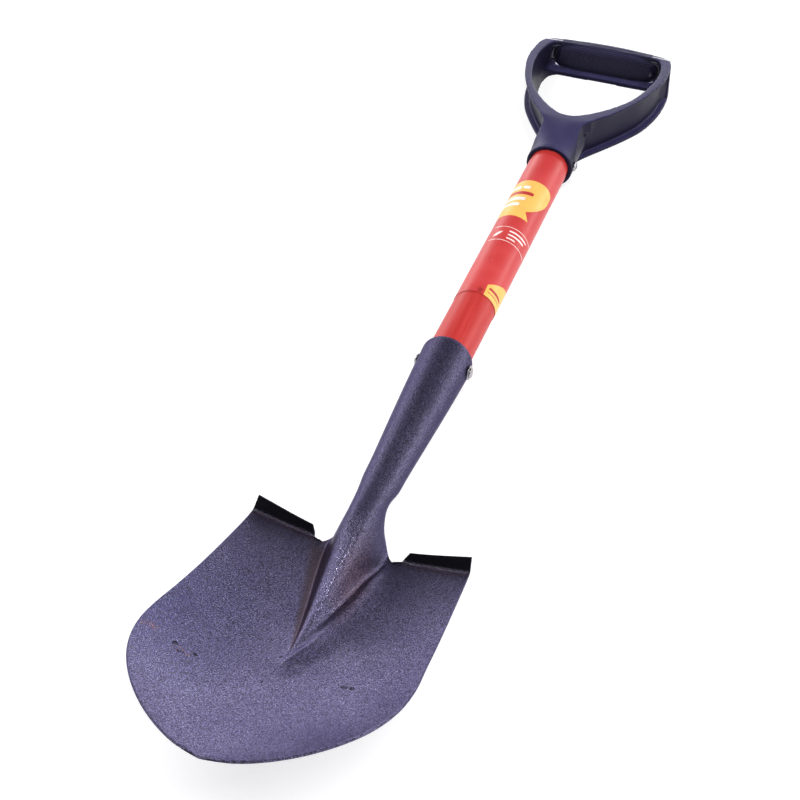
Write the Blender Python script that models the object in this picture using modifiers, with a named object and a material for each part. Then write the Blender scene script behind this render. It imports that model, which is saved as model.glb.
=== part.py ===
"""A round point shovel with a D-grip, lying on its back.

The blade's point is towards -Y, the grip towards +Y and the dished face up. The parts are placed under
one empty on the shaft's axis, where y = 0 lies just above the socket's mouth. All lengths are in metres.
"""

import math

import bmesh
import bpy
from mathutils import Vector

NAME = "round_point_shovel"
GAP = 0.0003

# Where the shaft's axis runs above the surface that the shovel lies on.
AXIS_HEIGHT = 0.01962

# Shaft, label and the dowels inside the shaft.
SHAFT_RADIUS = 0.0148
SHAFT_BORE_RADIUS = 0.0124
SHAFT_LOW_END = -0.052
SHAFT_TOP_END = 0.234
LABEL_THICKNESS = 0.0003
LABEL_GAP = 0.0001
LABEL_LOW_END = 0.0252
LABEL_TOP_END = 0.191
PLUG_LENGTH = 0.046
ROUND_SEGMENTS = 48

# Blade and socket: one sheet.
SHEET = 0.0016
SOCKET_MOUTH_Y = -0.0255
SOCKET_MOUTH_SLANT = 0.17
SOCKET_END_Y = -0.141
SEAM_HALF_GAP = 0.0005
SOCKET_RIDGE_ANGLE = math.radians(105.0)
SOCKET_RADIUS = ((-0.156, 0.0120), (-0.132, 0.0126), (-0.096, 0.0146), (-0.060, 0.0165), (-0.024, 0.0180))
NECK_END_Y = -0.190
SHOULDER_END_Y = -0.232
TIP_Y = -0.3704
TIP_Z = 0.0480

# The sheet's edge in plan, one half: the neck's opening, the fold line of the step, and the side.
NECK_EDGE = ((0.0005, -0.141), (0.0110, -0.151), (0.0154, -0.162), (0.0167, -0.1700), (0.0182, -0.1768),
             (0.0205, -0.1820), (0.0236, -0.1845), (0.0264, -0.1844), (0.0285, -0.1830))
STEP_FOLD = ((0.0285, -0.1830), (0.0698, -0.1812))
SIDE_EDGE = ((0.0698, -0.1812), (0.0709, -0.200), (0.0729, -0.230), (0.0751, -0.262), (0.0768, -0.286),
             (0.0750, -0.3045), (0.0686, -0.3215), (0.0580, -0.3368), (0.0446, -0.3500), (0.0298, -0.3602),
             (0.0150, -0.3670), (0.0, -0.3704))
# Heights of the rim and of the dish's centre line, along Y.
RIM_HEIGHT = ((-0.3704, 0.0480), (-0.352, 0.0447), (-0.333, 0.0398), (-0.304, 0.0303), (-0.276, 0.0186),
              (-0.239, 0.0045), (-0.200, -0.0072), (-0.181, -0.0115), (-0.141, -0.0150))
CENTRE_HEIGHT = ((-0.3704, 0.0480), (-0.350, 0.0345), (-0.320, 0.0180), (-0.275, 0.0010), (-0.230, -0.0108),
                 (-0.184, -0.0184), (-0.141, -0.0190))

# The frog: the ridge that carries the socket's shape down into the blade, and the soft lip round it.
FROG_START_Y = -0.186
FROG_TIP_Y = -0.278
FROG_HEIGHT = 0.0302
FROG_HALF_WIDTH = 0.0190
LIP_HALF_WIDTH = 0.0214
LIP_CENTRE_Y = -0.270
LIP_HEIGHT = 0.0013
LIP_SPREAD = 0.0042
RIDGE_LEAST_WIDTH = 0.0060

# The turned steps.
STEP_LENGTH_INNER = 0.0064
STEP_LENGTH_OUTER = 0.0088
STEP_BEND = 0.0018
STEP_LEAN_INNER = 0.55
STEP_LEAN_OUTER = -0.14

SOCKET_ROWS, NECK_ROWS, STEP_ROWS, SIDE_ROWS = 6, 9, 6, 16
RIDGE_COLUMNS, LIP_COLUMNS, OUTER_COLUMNS = 6, 3, 4
COLUMNS = RIDGE_COLUMNS + LIP_COLUMNS + OUTER_COLUMNS + 1

# Socket rivet, across the socket and the shaft.
RIVET_Y = -0.035
RIVET_RADIUS = 0.0024
RIVET_HEAD_RADIUS = 0.0042
RIVET_HEAD_HEIGHT = 0.0022
RIVET_TAIL_RADIUS = 0.0036
RIVET_TAIL_HEIGHT = 0.0014
WASHER_RADIUS = 0.0050
WASHER_THICKNESS = 0.0009

# Grip: the collar on the shaft, then a tapered D-shaped frame with a crossbar.
COLLAR_RADIUS = 0.0180
COLLAR_BORE_RADIUS = 0.0154
COLLAR_MOUTH_Y = 0.1962
COLLAR_PROFILE = ((0.0, 0.2480), (0.0184, 0.2480), (0.0184, 0.2360), (0.0180, 0.2240), (0.0180, 0.1968),
                  (0.0174, 0.1962), (0.0, 0.1962))
# The flat tongue that carries the front face down onto the collar, one half, and its height at two places.
TONGUE = ((0.0080, 0.2060), (0.0102, 0.2150), (0.0152, 0.2270), (0.0205, 0.2362), (0.0212, 0.2372))
TONGUE_UNDER_Z = 0.0100
TONGUE_LOW, TONGUE_HIGH = (0.2060, 0.0166), (0.2362, 0.0197)
GRIP_BACK_Z = -0.01962
GRIP_FLANGE = 0.0032
GRIP_TOP_Y = 0.3714
CHANNEL_DEPTH = 0.0036
CHANNEL_Y = (0.2450, 0.3440)
# The front face slopes down towards the crossbar.
FACE_SLOPE = math.radians(5.4)
FACE_Z_AT_CORNER = 0.0087
FACE_CORNER_Y = 0.3525
FRONT_OUTSIDE = ((0.0205, 0.2362), (0.0240, 0.2412), (0.0285, 0.2470), (0.0340, 0.2548), (0.0405, 0.2668),
                 (0.0458, 0.2790), (0.0508, 0.2920), (0.0540, 0.3040), (0.0565, 0.3150), (0.0577, 0.3290),
                 (0.0570, 0.3430))
FRONT_CORNER = (0.0562, 0.3568)
FRONT_CROWN_Y = 0.3582
FRONT_OPENING = ((0.0, 0.2393), (0.0050, 0.2401), (0.0102, 0.2428), (0.0180, 0.2492), (0.0256, 0.2573),
                 (0.0329, 0.2670), (0.0398, 0.2785), (0.0455, 0.2945), (0.0492, 0.3110), (0.0509, 0.3270))
FRONT_OPENING_CORNER = (0.0506, 0.3500)
FRONT_OPENING_CROWN_Y = 0.3554
BACK_OUTSIDE = ((0.0110, 0.2330), (0.0167, 0.2420), (0.0212, 0.2482), (0.0285, 0.2580), (0.0350, 0.2670),
                (0.0418, 0.2772), (0.0490, 0.2900), (0.0542, 0.3050), (0.0568, 0.3180), (0.0578, 0.3300),
                (0.0578, 0.3400))
BACK_CORNER = (0.0568, 0.3580)
BACK_CROWN_Y = 0.3640
BACK_OPENING = ((0.0, 0.2450), (0.0060, 0.2462), (0.0120, 0.2500), (0.0200, 0.2580), (0.0275, 0.2680),
                (0.0345, 0.2800), (0.0400, 0.2930), (0.0440, 0.3070), (0.0462, 0.3180), (0.0474, 0.3300))
BACK_OPENING_CORNER = (0.0470, 0.3480)
BACK_OPENING_CROWN_Y = 0.3484
CORNER_REACH = 0.010
# The hollow on the crossbar's finger side: half its width, and where it runs in y and z.
RECESS_HALF_WIDTH = 0.0445
RECESS_Y = (0.3300, 0.3556)
RECESS_Z = (-0.0162, 0.0052)
RECESS_ROUNDING = 0.004
BAR_Y = 0.3625
BAR_Z = -0.0050
BAR_RADIUS = 0.0100
BAR_STRIP_Y = (0.3553, 0.3580)
BAR_BACK_Y = 0.3660
BAR_FLANGE_Y = (0.3480, 0.3585)
# Along the crossbar: distance from the middle, how far the palm side falls away, and the section's size.
BAR_STATIONS = ((0.0, 0.0, 1.0), (0.012, 0.0003, 1.0), (0.024, 0.0012, 1.0), (0.034, 0.0026, 1.0),
                (0.042, 0.0046, 1.0), (0.048, 0.0068, 0.97), (0.0525, 0.0088, 0.90))
SCREW_Y = 0.2030
SCREW_RADIUS = 0.0019
SCREW_HEAD_RADIUS = 0.0037
SCREW_HEAD_HEIGHT = 0.0020
SCREW_LENGTH = 0.0120
SCREW_POINT = 0.0020

COLOURS = {
    "coated_steel": ((0.085, 0.080, 0.125, 1.0), 0.45, 0.55),
    "red_fibreglass": ((0.62, 0.035, 0.030, 1.0), 0.32, 0.0),
    "clear_film": ((0.70, 0.07, 0.06, 1.0), 0.22, 0.0),
    "grip_plastic": ((0.035, 0.034, 0.065, 1.0), 0.42, 0.0),
    "bright_steel": ((0.62, 0.62, 0.64, 1.0), 0.28, 1.0),
    "wood": ((0.55, 0.38, 0.20, 1.0), 0.75, 0.0),
}


def clear_scene():
    for obj in list(bpy.data.objects):
        bpy.data.objects.remove(obj, do_unlink=True)


def new_collection(name):
    collection = bpy.data.collections.new(name)
    bpy.context.scene.collection.children.link(collection)
    return collection


def material(name):
    found = bpy.data.materials.get(name)
    if found:
        return found
    colour, roughness, metallic = COLOURS[name]
    made = bpy.data.materials.new(name)
    made.use_nodes = True
    shader = made.node_tree.nodes["Principled BSDF"]
    shader.inputs["Base Color"].default_value = colour
    shader.inputs["Roughness"].default_value = roughness
    shader.inputs["Metallic"].default_value = metallic
    return made


def smoothstep(t):
    t = min(max(t, 0.0), 1.0)
    return t * t * (3.0 - 2.0 * t)


def hermite(before, start, end, after, t):
    """Between two knots of (place, value), with slopes taken from the knots on either side."""
    span = end[0] - start[0]
    slope_start = (end[1] - before[1]) / (end[0] - before[0])
    slope_end = (after[1] - start[1]) / (after[0] - start[0])
    s = (t - start[0]) / span
    return (
        (1 + 2 * s) * (1 - s) ** 2 * start[1]
        + s * (1 - s) ** 2 * span * slope_start
        + s * s * (3 - 2 * s) * end[1]
        + s * s * (s - 1) * span * slope_end
    )


def smooth_value(knots, place):
    """The value at a place on a smooth curve through knots of (place, value), in rising order."""
    place = min(max(place, knots[0][0]), knots[-1][0])
    i = 0
    while i < len(knots) - 2 and place > knots[i + 1][0]:
        i += 1
    before = knots[i - 1] if i else knots[i]
    after = knots[i + 2] if i + 2 < len(knots) else knots[i + 1]
    return hermite(before, knots[i], knots[i + 1], after, place)


def smooth_path(points, count):
    """count points spread evenly along a smooth plane curve through the points."""
    along = [0.0]
    for a, b in zip(points, points[1:]):
        along.append(along[-1] + math.dist(a, b))
    xs = [(s, p[0]) for s, p in zip(along, points)]
    ys = [(s, p[1]) for s, p in zip(along, points)]
    places = [along[-1] * k / (count - 1) for k in range(count)]
    return [(smooth_value(xs, s), smooth_value(ys, s)) for s in places]


def add_object(name, data, collection, parent, slot):
    obj = bpy.data.objects.new(name, data)
    collection.objects.link(obj)
    obj.parent = parent
    if slot:
        obj.data.materials.append(material(slot))
    return obj


def mesh_from(name, bm):
    data = bpy.data.meshes.new(name)
    bmesh.ops.recalc_face_normals(bm, faces=bm.faces)
    bm.to_mesh(data)
    bm.free()
    return data


def smooth_shading(obj, sharp_degrees=35.0):
    obj.data.shade_smooth()
    obj.data.set_sharp_from_angle(angle=math.radians(sharp_degrees))


def add_cutter(obj):
    obj.hide_render = True
    obj.display_type = "WIRE"
    return obj


def add_boolean(obj, operation, other):
    modifier = obj.modifiers.new(f"{operation.lower()}_{other.name}", "BOOLEAN")
    modifier.operation = operation
    modifier.solver = "EXACT"
    modifier.object = other


def turned(name, profile, axis, place, collection, parent, slot, segments=ROUND_SEGMENTS):
    """A round piece: a profile of (radius, height), run down its outer side, turned about an axis."""
    data = bpy.data.meshes.new(name)
    points = [(radius, 0.0, height) for radius, height in profile]
    data.from_pydata(points, [(i, i + 1) for i in range(len(points) - 1)], [])
    obj = add_object(name, data, collection, parent, slot)
    obj.rotation_euler = Vector((0, 0, 1)).rotation_difference(Vector(axis)).to_euler()
    obj.location = place
    screw = obj.modifiers.new("turn", "SCREW")
    screw.steps = screw.render_steps = segments
    screw.use_merge_vertices = True
    screw.merge_threshold = 0.00005
    screw.use_smooth_shade = True
    return obj


def tube_profile(outer, inner, low, high):
    return [(outer, high), (outer, low), (inner, low), (inner, high), (outer, high)]


def rod_profile(radius, low, high):
    return [(0.0, high), (radius, high), (radius, low), (0.0, low)]


# ---- blade ------------------------------------------------------------------------------------------


def frog_rise(x, y):
    """Height of the ridge above the dish: tall at the neck, dying out at its tip."""
    left = 1.0 - (FROG_START_Y - y) / (FROG_START_Y - FROG_TIP_Y)
    left = min(left, 1.0)
    if left <= 0.0:
        return 0.0
    reach = abs(x) / (FROG_HALF_WIDTH * left)
    if reach >= 1.0:
        return 0.0
    return FROG_HEIGHT * left**1.4 * 0.5 * (1.0 + math.cos(math.pi * reach**1.25))


def lip_rise(x, y):
    """Height of the soft lip that runs beside the ridge and closes round its tip."""
    beyond = max(LIP_CENTRE_Y - y, 0.0)
    offset = math.hypot(x, beyond) - LIP_HALF_WIDTH
    fade = smoothstep((FROG_START_Y - y) / 0.02)
    return LIP_HEIGHT * fade * math.exp(-((offset / LIP_SPREAD) ** 2))


def rim_half_width(y):
    """Half the blade's width at a distance along Y."""
    knots = [(point[1], point[0]) for point in reversed(SIDE_EDGE)]
    return smooth_value(knots, y)


def blade_height(x, y):
    centre = smooth_value(CENTRE_HEIGHT, y)
    rim = smooth_value(RIM_HEIGHT, y)
    half = max(rim_half_width(y), 0.004)
    across = min(abs(x) / half, 1.0)
    return centre + (rim - centre) * across**2 + frog_rise(x, y) + lip_rise(x, y)


def ridge_half_width(y):
    """Half the ridge's width at its foot, held at a little past its tip so that the rows stay even."""
    left = min(max(1.0 - (FROG_START_Y - y) / (FROG_START_Y - FROG_TIP_Y), 0.0), 1.0)
    return max(FROG_HALF_WIDTH * left, RIDGE_LEAST_WIDTH)


def column_places(centre_y, edge_x):
    """Distances from the centre line for one row: over the ridge, over the lip, and out to the edge."""
    ridge = min(ridge_half_width(centre_y), 0.62 * edge_x)
    lip = min(LIP_HALF_WIDTH + 2.0 * LIP_SPREAD, ridge + 0.45 * (edge_x - ridge))
    places = [ridge * k / RIDGE_COLUMNS for k in range(RIDGE_COLUMNS)]
    places += [ridge + (lip - ridge) * k / LIP_COLUMNS for k in range(LIP_COLUMNS)]
    places += [lip + (edge_x - lip) * k / OUTER_COLUMNS for k in range(OUTER_COLUMNS + 1)]
    return places


def wing_row(centre_y, edge):
    """Points from the centre line out to the sheet's edge, curving to meet it."""
    edge_x, edge_y = edge
    row = []
    for x in column_places(centre_y, edge_x):
        y = centre_y + (edge_y - centre_y) * (x / edge_x) ** 2
        row.append(Vector((x, y, blade_height(x, y))))
    return row


def socket_row(y):
    """Points round one half of the rolled socket, from its front to the seam at its back."""
    radius = smooth_value(SOCKET_RADIUS, y)
    sweep = math.pi - SEAM_HALF_GAP / radius
    slant = SOCKET_MOUTH_SLANT * smoothstep((y - SOCKET_END_Y) / (SOCKET_MOUTH_Y - SOCKET_END_Y))
    row = []
    for column in range(COLUMNS):
        if column <= RIDGE_COLUMNS:
            angle = SOCKET_RIDGE_ANGLE * column / RIDGE_COLUMNS
        else:
            past = (column - RIDGE_COLUMNS) / (COLUMNS - 1 - RIDGE_COLUMNS)
            angle = SOCKET_RIDGE_ANGLE + (sweep - SOCKET_RIDGE_ANGLE) * past
        x, z = radius * math.sin(angle), radius * math.cos(angle)
        row.append(Vector((x, y + slant * (z - radius), z)))
    return row


def blade_rows():
    """(row, is_step) from the socket's mouth to the blade's point."""
    rows = []
    for k in range(SOCKET_ROWS):
        y = SOCKET_MOUTH_Y + (SOCKET_END_Y - SOCKET_MOUTH_Y) * k / SOCKET_ROWS
        rows.append((socket_row(y), False))
    neck_edges = smooth_path(NECK_EDGE, NECK_ROWS + 1)
    for k in range(NECK_ROWS):
        t = k / NECK_ROWS
        y = SOCKET_END_Y + (NECK_END_Y - SOCKET_END_Y) * t
        opened = smoothstep(t * 1.12)
        pairs = zip(socket_row(y), wing_row(y, neck_edges[k]))
        rows.append(([a.lerp(b, opened) for a, b in pairs], False))
    step_edges = smooth_path(STEP_FOLD, STEP_ROWS)
    for k in range(STEP_ROWS):
        y = NECK_END_Y + (SHOULDER_END_Y - NECK_END_Y) * k / (STEP_ROWS - 1)
        rows.append((wing_row(y, step_edges[k]), True))
    side_edges = smooth_path(SIDE_EDGE, SIDE_ROWS + 1)
    for k in range(1, SIDE_ROWS):
        t = k / SIDE_ROWS
        y = SHOULDER_END_Y + (TIP_Y - SHOULDER_END_Y) * t**0.85
        rows.append((wing_row(y, side_edges[k]), False))
    return rows


def step_points(edge, inner_row, t):
    """The bend and the upright of one turned step, from the fold line out."""
    along = (edge - inner_row).normalized()
    outward = Vector((0.0, along.y, along.z)).normalized()
    lean = STEP_LEAN_INNER + (STEP_LEAN_OUTER - STEP_LEAN_INNER) * t
    rise = Vector((lean, 0.70, 0.71)).normalized()
    corner = edge + outward * STEP_BEND
    bend = edge * 0.25 + corner * 0.5 + (corner + rise * STEP_BEND) * 0.25
    length = STEP_LENGTH_INNER + (STEP_LENGTH_OUTER - STEP_LENGTH_INNER) * t
    return [bend, corner + rise * STEP_BEND, corner + rise * length]


def build_blade(collection, cutters, parent):
    bm = bmesh.new()
    previous = None
    step_index = 0
    for points, is_step in blade_rows():
        line = [bm.verts.new(point) for point in points]
        if previous:
            for column in range(COLUMNS - 1):
                bm.faces.new((previous[0][column], line[column], line[column + 1], previous[0][column + 1]))
        flange = None
        if is_step:
            t = step_index / (STEP_ROWS - 1)
            extra = step_points(points[-1], points[-2], t)
            flange = [line[-1]] + [bm.verts.new(point) for point in extra]
            step_index += 1
            if previous[1]:
                for a in range(len(flange) - 1):
                    bm.faces.new((previous[1][a], flange[a], flange[a + 1], previous[1][a + 1]))
        previous = (line, flange)
    tip = bm.verts.new((0.0, TIP_Y, TIP_Z))
    line = previous[0]
    for column in range(COLUMNS - 1):
        bm.faces.new((line[column], tip, line[column + 1]))
    for face in bm.faces:
        face.smooth = True
    data = bpy.data.meshes.new("blade")
    bm.to_mesh(data)
    bm.free()
    blade = add_object("blade", data, collection, parent, "coated_steel")
    mirror = blade.modifiers.new("other_half", "MIRROR")
    mirror.use_clip = True
    mirror.merge_threshold = 0.00002
    sheet = blade.modifiers.new("sheet", "SOLIDIFY")
    sheet.thickness = SHEET
    sheet.offset = -1.0
    sheet.use_even_offset = True
    hole = turned("rivet_hole_cutter", rod_profile(RIVET_RADIUS + GAP, -0.03, 0.03), (1, 0, 0),
                  (0, RIVET_Y, 0), cutters, parent, None, 20)
    add_boolean(blade, "DIFFERENCE", add_cutter(hole))
    return blade


# ---- shaft, dowels and fasteners ----------------------------------------------------------------------


def build_shaft(collection, cutters, parent):
    along = (0, 1, 0)
    middle = (0, 0, 0)
    shaft = turned("shaft_tube", tube_profile(SHAFT_RADIUS, SHAFT_BORE_RADIUS, SHAFT_LOW_END, SHAFT_TOP_END),
                   along, middle, collection, parent, "red_fibreglass")
    inner = SHAFT_RADIUS + LABEL_GAP
    turned("shaft_label", tube_profile(inner + LABEL_THICKNESS, inner, LABEL_LOW_END, LABEL_TOP_END),
           along, middle, collection, parent, "clear_film")
    rod = SHAFT_BORE_RADIUS - GAP
    socket_plug = turned("socket_plug", rod_profile(rod, SHAFT_LOW_END, SHAFT_LOW_END + PLUG_LENGTH),
                         along, middle, collection, parent, "wood", 24)
    grip_plug = turned("grip_plug", rod_profile(rod, SHAFT_TOP_END - PLUG_LENGTH, SHAFT_TOP_END),
                       along, middle, collection, parent, "wood", 24)
    rivet_hole = bpy.data.objects["rivet_hole_cutter"]
    screw_hole = turned("screw_hole_cutter", rod_profile(SCREW_RADIUS + GAP, 0.0050, 0.03), (1, 0, 0),
                        (0, SCREW_Y, 0), cutters, parent, None, 20)
    add_cutter(screw_hole)
    for piece in (shaft, socket_plug):
        add_boolean(piece, "DIFFERENCE", rivet_hole)
    for piece in (shaft, grip_plug):
        add_boolean(piece, "DIFFERENCE", screw_hole)


def dome(radius, height, base, steps=5):
    """(radius, height) points from the crown of a low dome down to its rim."""
    points = []
    for k in range(steps + 1):
        angle = 0.5 * math.pi * k / steps
        points.append((radius * math.sin(angle), base + height * math.cos(angle)))
    return points


def build_fasteners(collection, parent):
    seat = smooth_value(SOCKET_RADIUS, RIVET_Y) + GAP
    washer_top = seat + WASHER_THICKNESS
    tail = washer_top + GAP
    profile = dome(RIVET_TAIL_RADIUS, RIVET_TAIL_HEIGHT, tail)
    profile += [(RIVET_RADIUS, tail), (RIVET_RADIUS, -seat)]
    profile += [(radius, -height) for radius, height in reversed(dome(RIVET_HEAD_RADIUS, RIVET_HEAD_HEIGHT, seat))]
    turned("socket_rivet", profile, (1, 0, 0), (0, RIVET_Y, 0), collection, parent, "bright_steel", 24)
    turned("rivet_washer", tube_profile(WASHER_RADIUS, RIVET_RADIUS + GAP, seat, washer_top),
           (1, 0, 0), (0, RIVET_Y, 0), collection, parent, "bright_steel", 28)
    head = COLLAR_RADIUS + GAP
    profile = dome(SCREW_HEAD_RADIUS, SCREW_HEAD_HEIGHT, head)
    profile += [(SCREW_RADIUS, head), (SCREW_RADIUS, head - SCREW_LENGTH + SCREW_POINT), (0.0, head - SCREW_LENGTH)]
    turned("grip_screw", profile, (1, 0, 0), (0, SCREW_Y, 0), collection, parent, "bright_steel", 24)


# ---- grip ---------------------------------------------------------------------------------------------


def face_height(y):
    """Height of the grip's sloping front face."""
    return FACE_Z_AT_CORNER + (FACE_CORNER_Y - y) * math.tan(FACE_SLOPE)


def back_height(_):
    return GRIP_BACK_Z


def outline(points, corner, crown_y):
    """A closed D: up one arm, round the corner, over the crown and down the other arm."""
    half = smooth_path(points, 16)
    (corner_x, corner_y), (start_x, start_y) = corner, points[-1]
    for k in range(1, 6):
        t = k / 5
        x = (1 - t) ** 2 * start_x + 2 * t * (1 - t) * corner_x + t * t * (corner_x - CORNER_REACH)
        y = (1 - t) ** 2 * start_y + 2 * t * (1 - t) * corner_y + t * t * corner_y
        half.append((x, y))
    last_x, last_y = half[-1]
    for k in range(1, 6):
        x = last_x * (1 - k / 5)
        half.append((x, last_y + (crown_y - last_y) * (1 - (x / last_x) ** 2)))
    return half + [(-x, y) for x, y in reversed(half) if x > 0.0]


def prism(name, low, high, low_height, high_height, collection, parent, slot=None):
    """A block between two outlines of as many points, each at a height that depends on y."""
    bm = bmesh.new()
    low_ring = [bm.verts.new((x, y, low_height(y))) for x, y in low]
    high_ring = [bm.verts.new((x, y, high_height(y))) for x, y in high]
    for i in range(len(low)):
        j = (i + 1) % len(low)
        bm.faces.new((low_ring[i], low_ring[j], high_ring[j], high_ring[i]))
    bm.faces.new(reversed(low_ring))
    bm.faces.new(high_ring)
    made = add_object(name, mesh_from(name, bm), collection, parent, slot)
    smooth_shading(made)
    return made


def channel_outline(side):
    """The hollow along the outside of one arm, in plan, and the space beside it."""
    path = [point for point in smooth_path(FRONT_OUTSIDE, 24) if CHANNEL_Y[0] < point[1] < CHANNEL_Y[1]]
    near, far = [], []
    for i, point in enumerate(path):
        before, after = path[max(i - 1, 0)], path[min(i + 1, len(path) - 1)]
        run = (Vector(after) - Vector(before)).normalized()
        near.append((side * (point[0] - run.y * CHANNEL_DEPTH), point[1] + run.x * CHANNEL_DEPTH))
        far.append((side * (point[0] + 2.0 * CHANNEL_DEPTH), point[1]))
    return near + far[::-1]


def bar_section():
    """The crossbar's section as (y, z): a round finger side, a thin front strip and a fuller palm side."""
    points = []
    for k in range(9):
        angle = math.radians(250 - 140 * k / 8)
        points.append((BAR_Y + BAR_RADIUS * math.cos(angle), BAR_Z + BAR_RADIUS * math.sin(angle)))
    strip_y, crown_y = BAR_STRIP_Y
    top = face_height(crown_y)
    points.append((strip_y, top))
    for k in range(5):
        angle = math.radians(90 - 90 * k / 5)
        points.append((crown_y + (GRIP_TOP_Y - crown_y) * math.cos(angle), BAR_Z + (top - BAR_Z) * math.sin(angle)))
    for k in range(5):
        angle = math.radians(90 * k / 4)
        points.append((BAR_BACK_Y + (GRIP_TOP_Y - BAR_BACK_Y) * math.cos(angle),
                       BAR_Z + (GRIP_BACK_Z - BAR_Z) * math.sin(angle)))
    edge_y, root_y = BAR_FLANGE_Y
    return points + [(edge_y, GRIP_BACK_Z), (edge_y, GRIP_BACK_Z + GRIP_FLANGE), (root_y, GRIP_BACK_Z + GRIP_FLANGE)]


def rounded_block(name, low, high, rounding, collection, parent):
    """A box between two corners with all its edges rounded."""
    low, high = Vector(low), Vector(high)
    bm = bmesh.new()
    bmesh.ops.create_cube(bm, size=1.0)
    bmesh.ops.scale(bm, vec=high - low, verts=bm.verts)
    block = add_object(name, mesh_from(name, bm), collection, parent, None)
    block.location = (low + high) / 2
    bevel = block.modifiers.new("rounding", "BEVEL")
    bevel.width = rounding
    bevel.segments = 3
    smooth_shading(block)
    return block


def tongue_height(y):
    (low_y, low_z), (high_y, high_z) = TONGUE_LOW, TONGUE_HIGH
    return low_z + (high_z - low_z) * (y - low_y) / (high_y - low_y)


def build_bar(collection, parent):
    """The crossbar: its section carried across the grip and drawn in at both ends."""
    stations = [(-x, drop, size) for x, drop, size in reversed(BAR_STATIONS[1:])] + list(BAR_STATIONS)
    bm = bmesh.new()
    rings = []
    for x, drop, size in stations:
        ring = []
        for y, z in bar_section():
            fall = drop * smoothstep((y - BAR_STRIP_Y[1]) / (GRIP_TOP_Y - BAR_STRIP_Y[1]))
            ring.append(bm.verts.new((x, BAR_Y + (y - fall - BAR_Y) * size, BAR_Z + (z - BAR_Z) * size)))
        rings.append(ring)
    for a, b in zip(rings, rings[1:]):
        for i in range(len(a)):
            j = (i + 1) % len(a)
            bm.faces.new((a[i], a[j], b[j], b[i]))
    bm.faces.new(rings[0])
    bm.faces.new(reversed(rings[-1]))
    bar = add_object("grip_crossbar", mesh_from("grip_crossbar", bm), collection, parent, None)
    smooth_shading(bar)
    return bar


def build_grip(collection, cutters, parent):
    front = outline(FRONT_OUTSIDE, FRONT_CORNER, FRONT_CROWN_Y)
    back = outline(BACK_OUTSIDE, BACK_CORNER, BACK_CROWN_Y)
    grip = prism("d_grip", back, front, back_height, face_height, collection, parent, "grip_plastic")

    collar = turned("grip_collar", COLLAR_PROFILE, (0, 1, 0), (0, 0, 0),
                    cutters, parent, None)
    add_boolean(grip, "UNION", add_cutter(collar))

    tongue_plan = list(TONGUE) + [(-x, y) for x, y in reversed(TONGUE)]
    tongue = prism("grip_tongue", tongue_plan, tongue_plan, lambda y: TONGUE_UNDER_Z, tongue_height,
                   cutters, parent)
    add_boolean(grip, "UNION", add_cutter(tongue))

    opening = prism("grip_opening_cutter", outline(BACK_OPENING, BACK_OPENING_CORNER, BACK_OPENING_CROWN_Y),
                    outline(FRONT_OPENING, FRONT_OPENING_CORNER, FRONT_OPENING_CROWN_Y),
                    lambda y: GRIP_BACK_Z - GAP, lambda y: face_height(y) + GAP, cutters, parent)
    add_boolean(grip, "DIFFERENCE", add_cutter(opening))
    for side, name in ((1.0, "grip_channel_right_cutter"), (-1.0, "grip_channel_left_cutter")):
        plan = channel_outline(side)
        channel = prism(name, plan, plan, lambda y: GRIP_BACK_Z + GRIP_FLANGE,
                        lambda y: face_height(y) - GRIP_FLANGE, cutters, parent)
        add_boolean(grip, "DIFFERENCE", add_cutter(channel))
    recess = rounded_block("grip_recess_cutter", (-RECESS_HALF_WIDTH, RECESS_Y[0], RECESS_Z[0]),
                           (RECESS_HALF_WIDTH, RECESS_Y[1], RECESS_Z[1]), RECESS_ROUNDING, cutters, parent)
    add_boolean(grip, "DIFFERENCE", add_cutter(recess))
    add_boolean(grip, "UNION", add_cutter(build_bar(cutters, parent)))

    bore = turned("grip_bore_cutter", rod_profile(COLLAR_BORE_RADIUS, COLLAR_MOUTH_Y - 0.004, SHAFT_TOP_END + GAP),
                  (0, 1, 0), (0, 0, 0), cutters, parent, None)
    add_boolean(grip, "DIFFERENCE", add_cutter(bore))
    add_boolean(grip, "DIFFERENCE", bpy.data.objects["screw_hole_cutter"])


def main():
    clear_scene()
    collection = new_collection(NAME)
    cutters = new_collection("cutters")
    axis = bpy.data.objects.new("shaft_axis", None)
    axis.location = (0.0, 0.0, AXIS_HEIGHT)
    collection.objects.link(axis)
    build_blade(collection, cutters, axis)
    build_shaft(collection, cutters, axis)
    build_grip(collection, cutters, axis)
    build_fasteners(collection, axis)


main()
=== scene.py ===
"""Looks for the round point shovel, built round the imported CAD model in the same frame, in metres."""

import math

import bmesh
import bpy
from mathutils import Matrix, Vector


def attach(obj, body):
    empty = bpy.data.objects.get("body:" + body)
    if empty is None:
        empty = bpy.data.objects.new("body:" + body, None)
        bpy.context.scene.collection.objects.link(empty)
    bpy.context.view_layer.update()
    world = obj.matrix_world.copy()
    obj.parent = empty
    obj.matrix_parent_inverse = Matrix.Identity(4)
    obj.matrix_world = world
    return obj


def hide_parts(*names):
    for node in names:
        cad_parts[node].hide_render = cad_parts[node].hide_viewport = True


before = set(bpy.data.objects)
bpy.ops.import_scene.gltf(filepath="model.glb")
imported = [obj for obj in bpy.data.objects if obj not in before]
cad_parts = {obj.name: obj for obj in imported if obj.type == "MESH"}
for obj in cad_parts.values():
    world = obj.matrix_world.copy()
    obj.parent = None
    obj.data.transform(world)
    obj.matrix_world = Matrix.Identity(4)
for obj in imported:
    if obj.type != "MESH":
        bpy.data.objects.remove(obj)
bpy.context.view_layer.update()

BODY = "root"
AXIS_Z = 0.01962  # height of the shaft's axis above the floor

# ---- shared maths ----------------------------------------


def smoothstep(t):
    t = min(max(t, 0.0), 1.0)
    return t * t * (3.0 - 2.0 * t)


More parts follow.
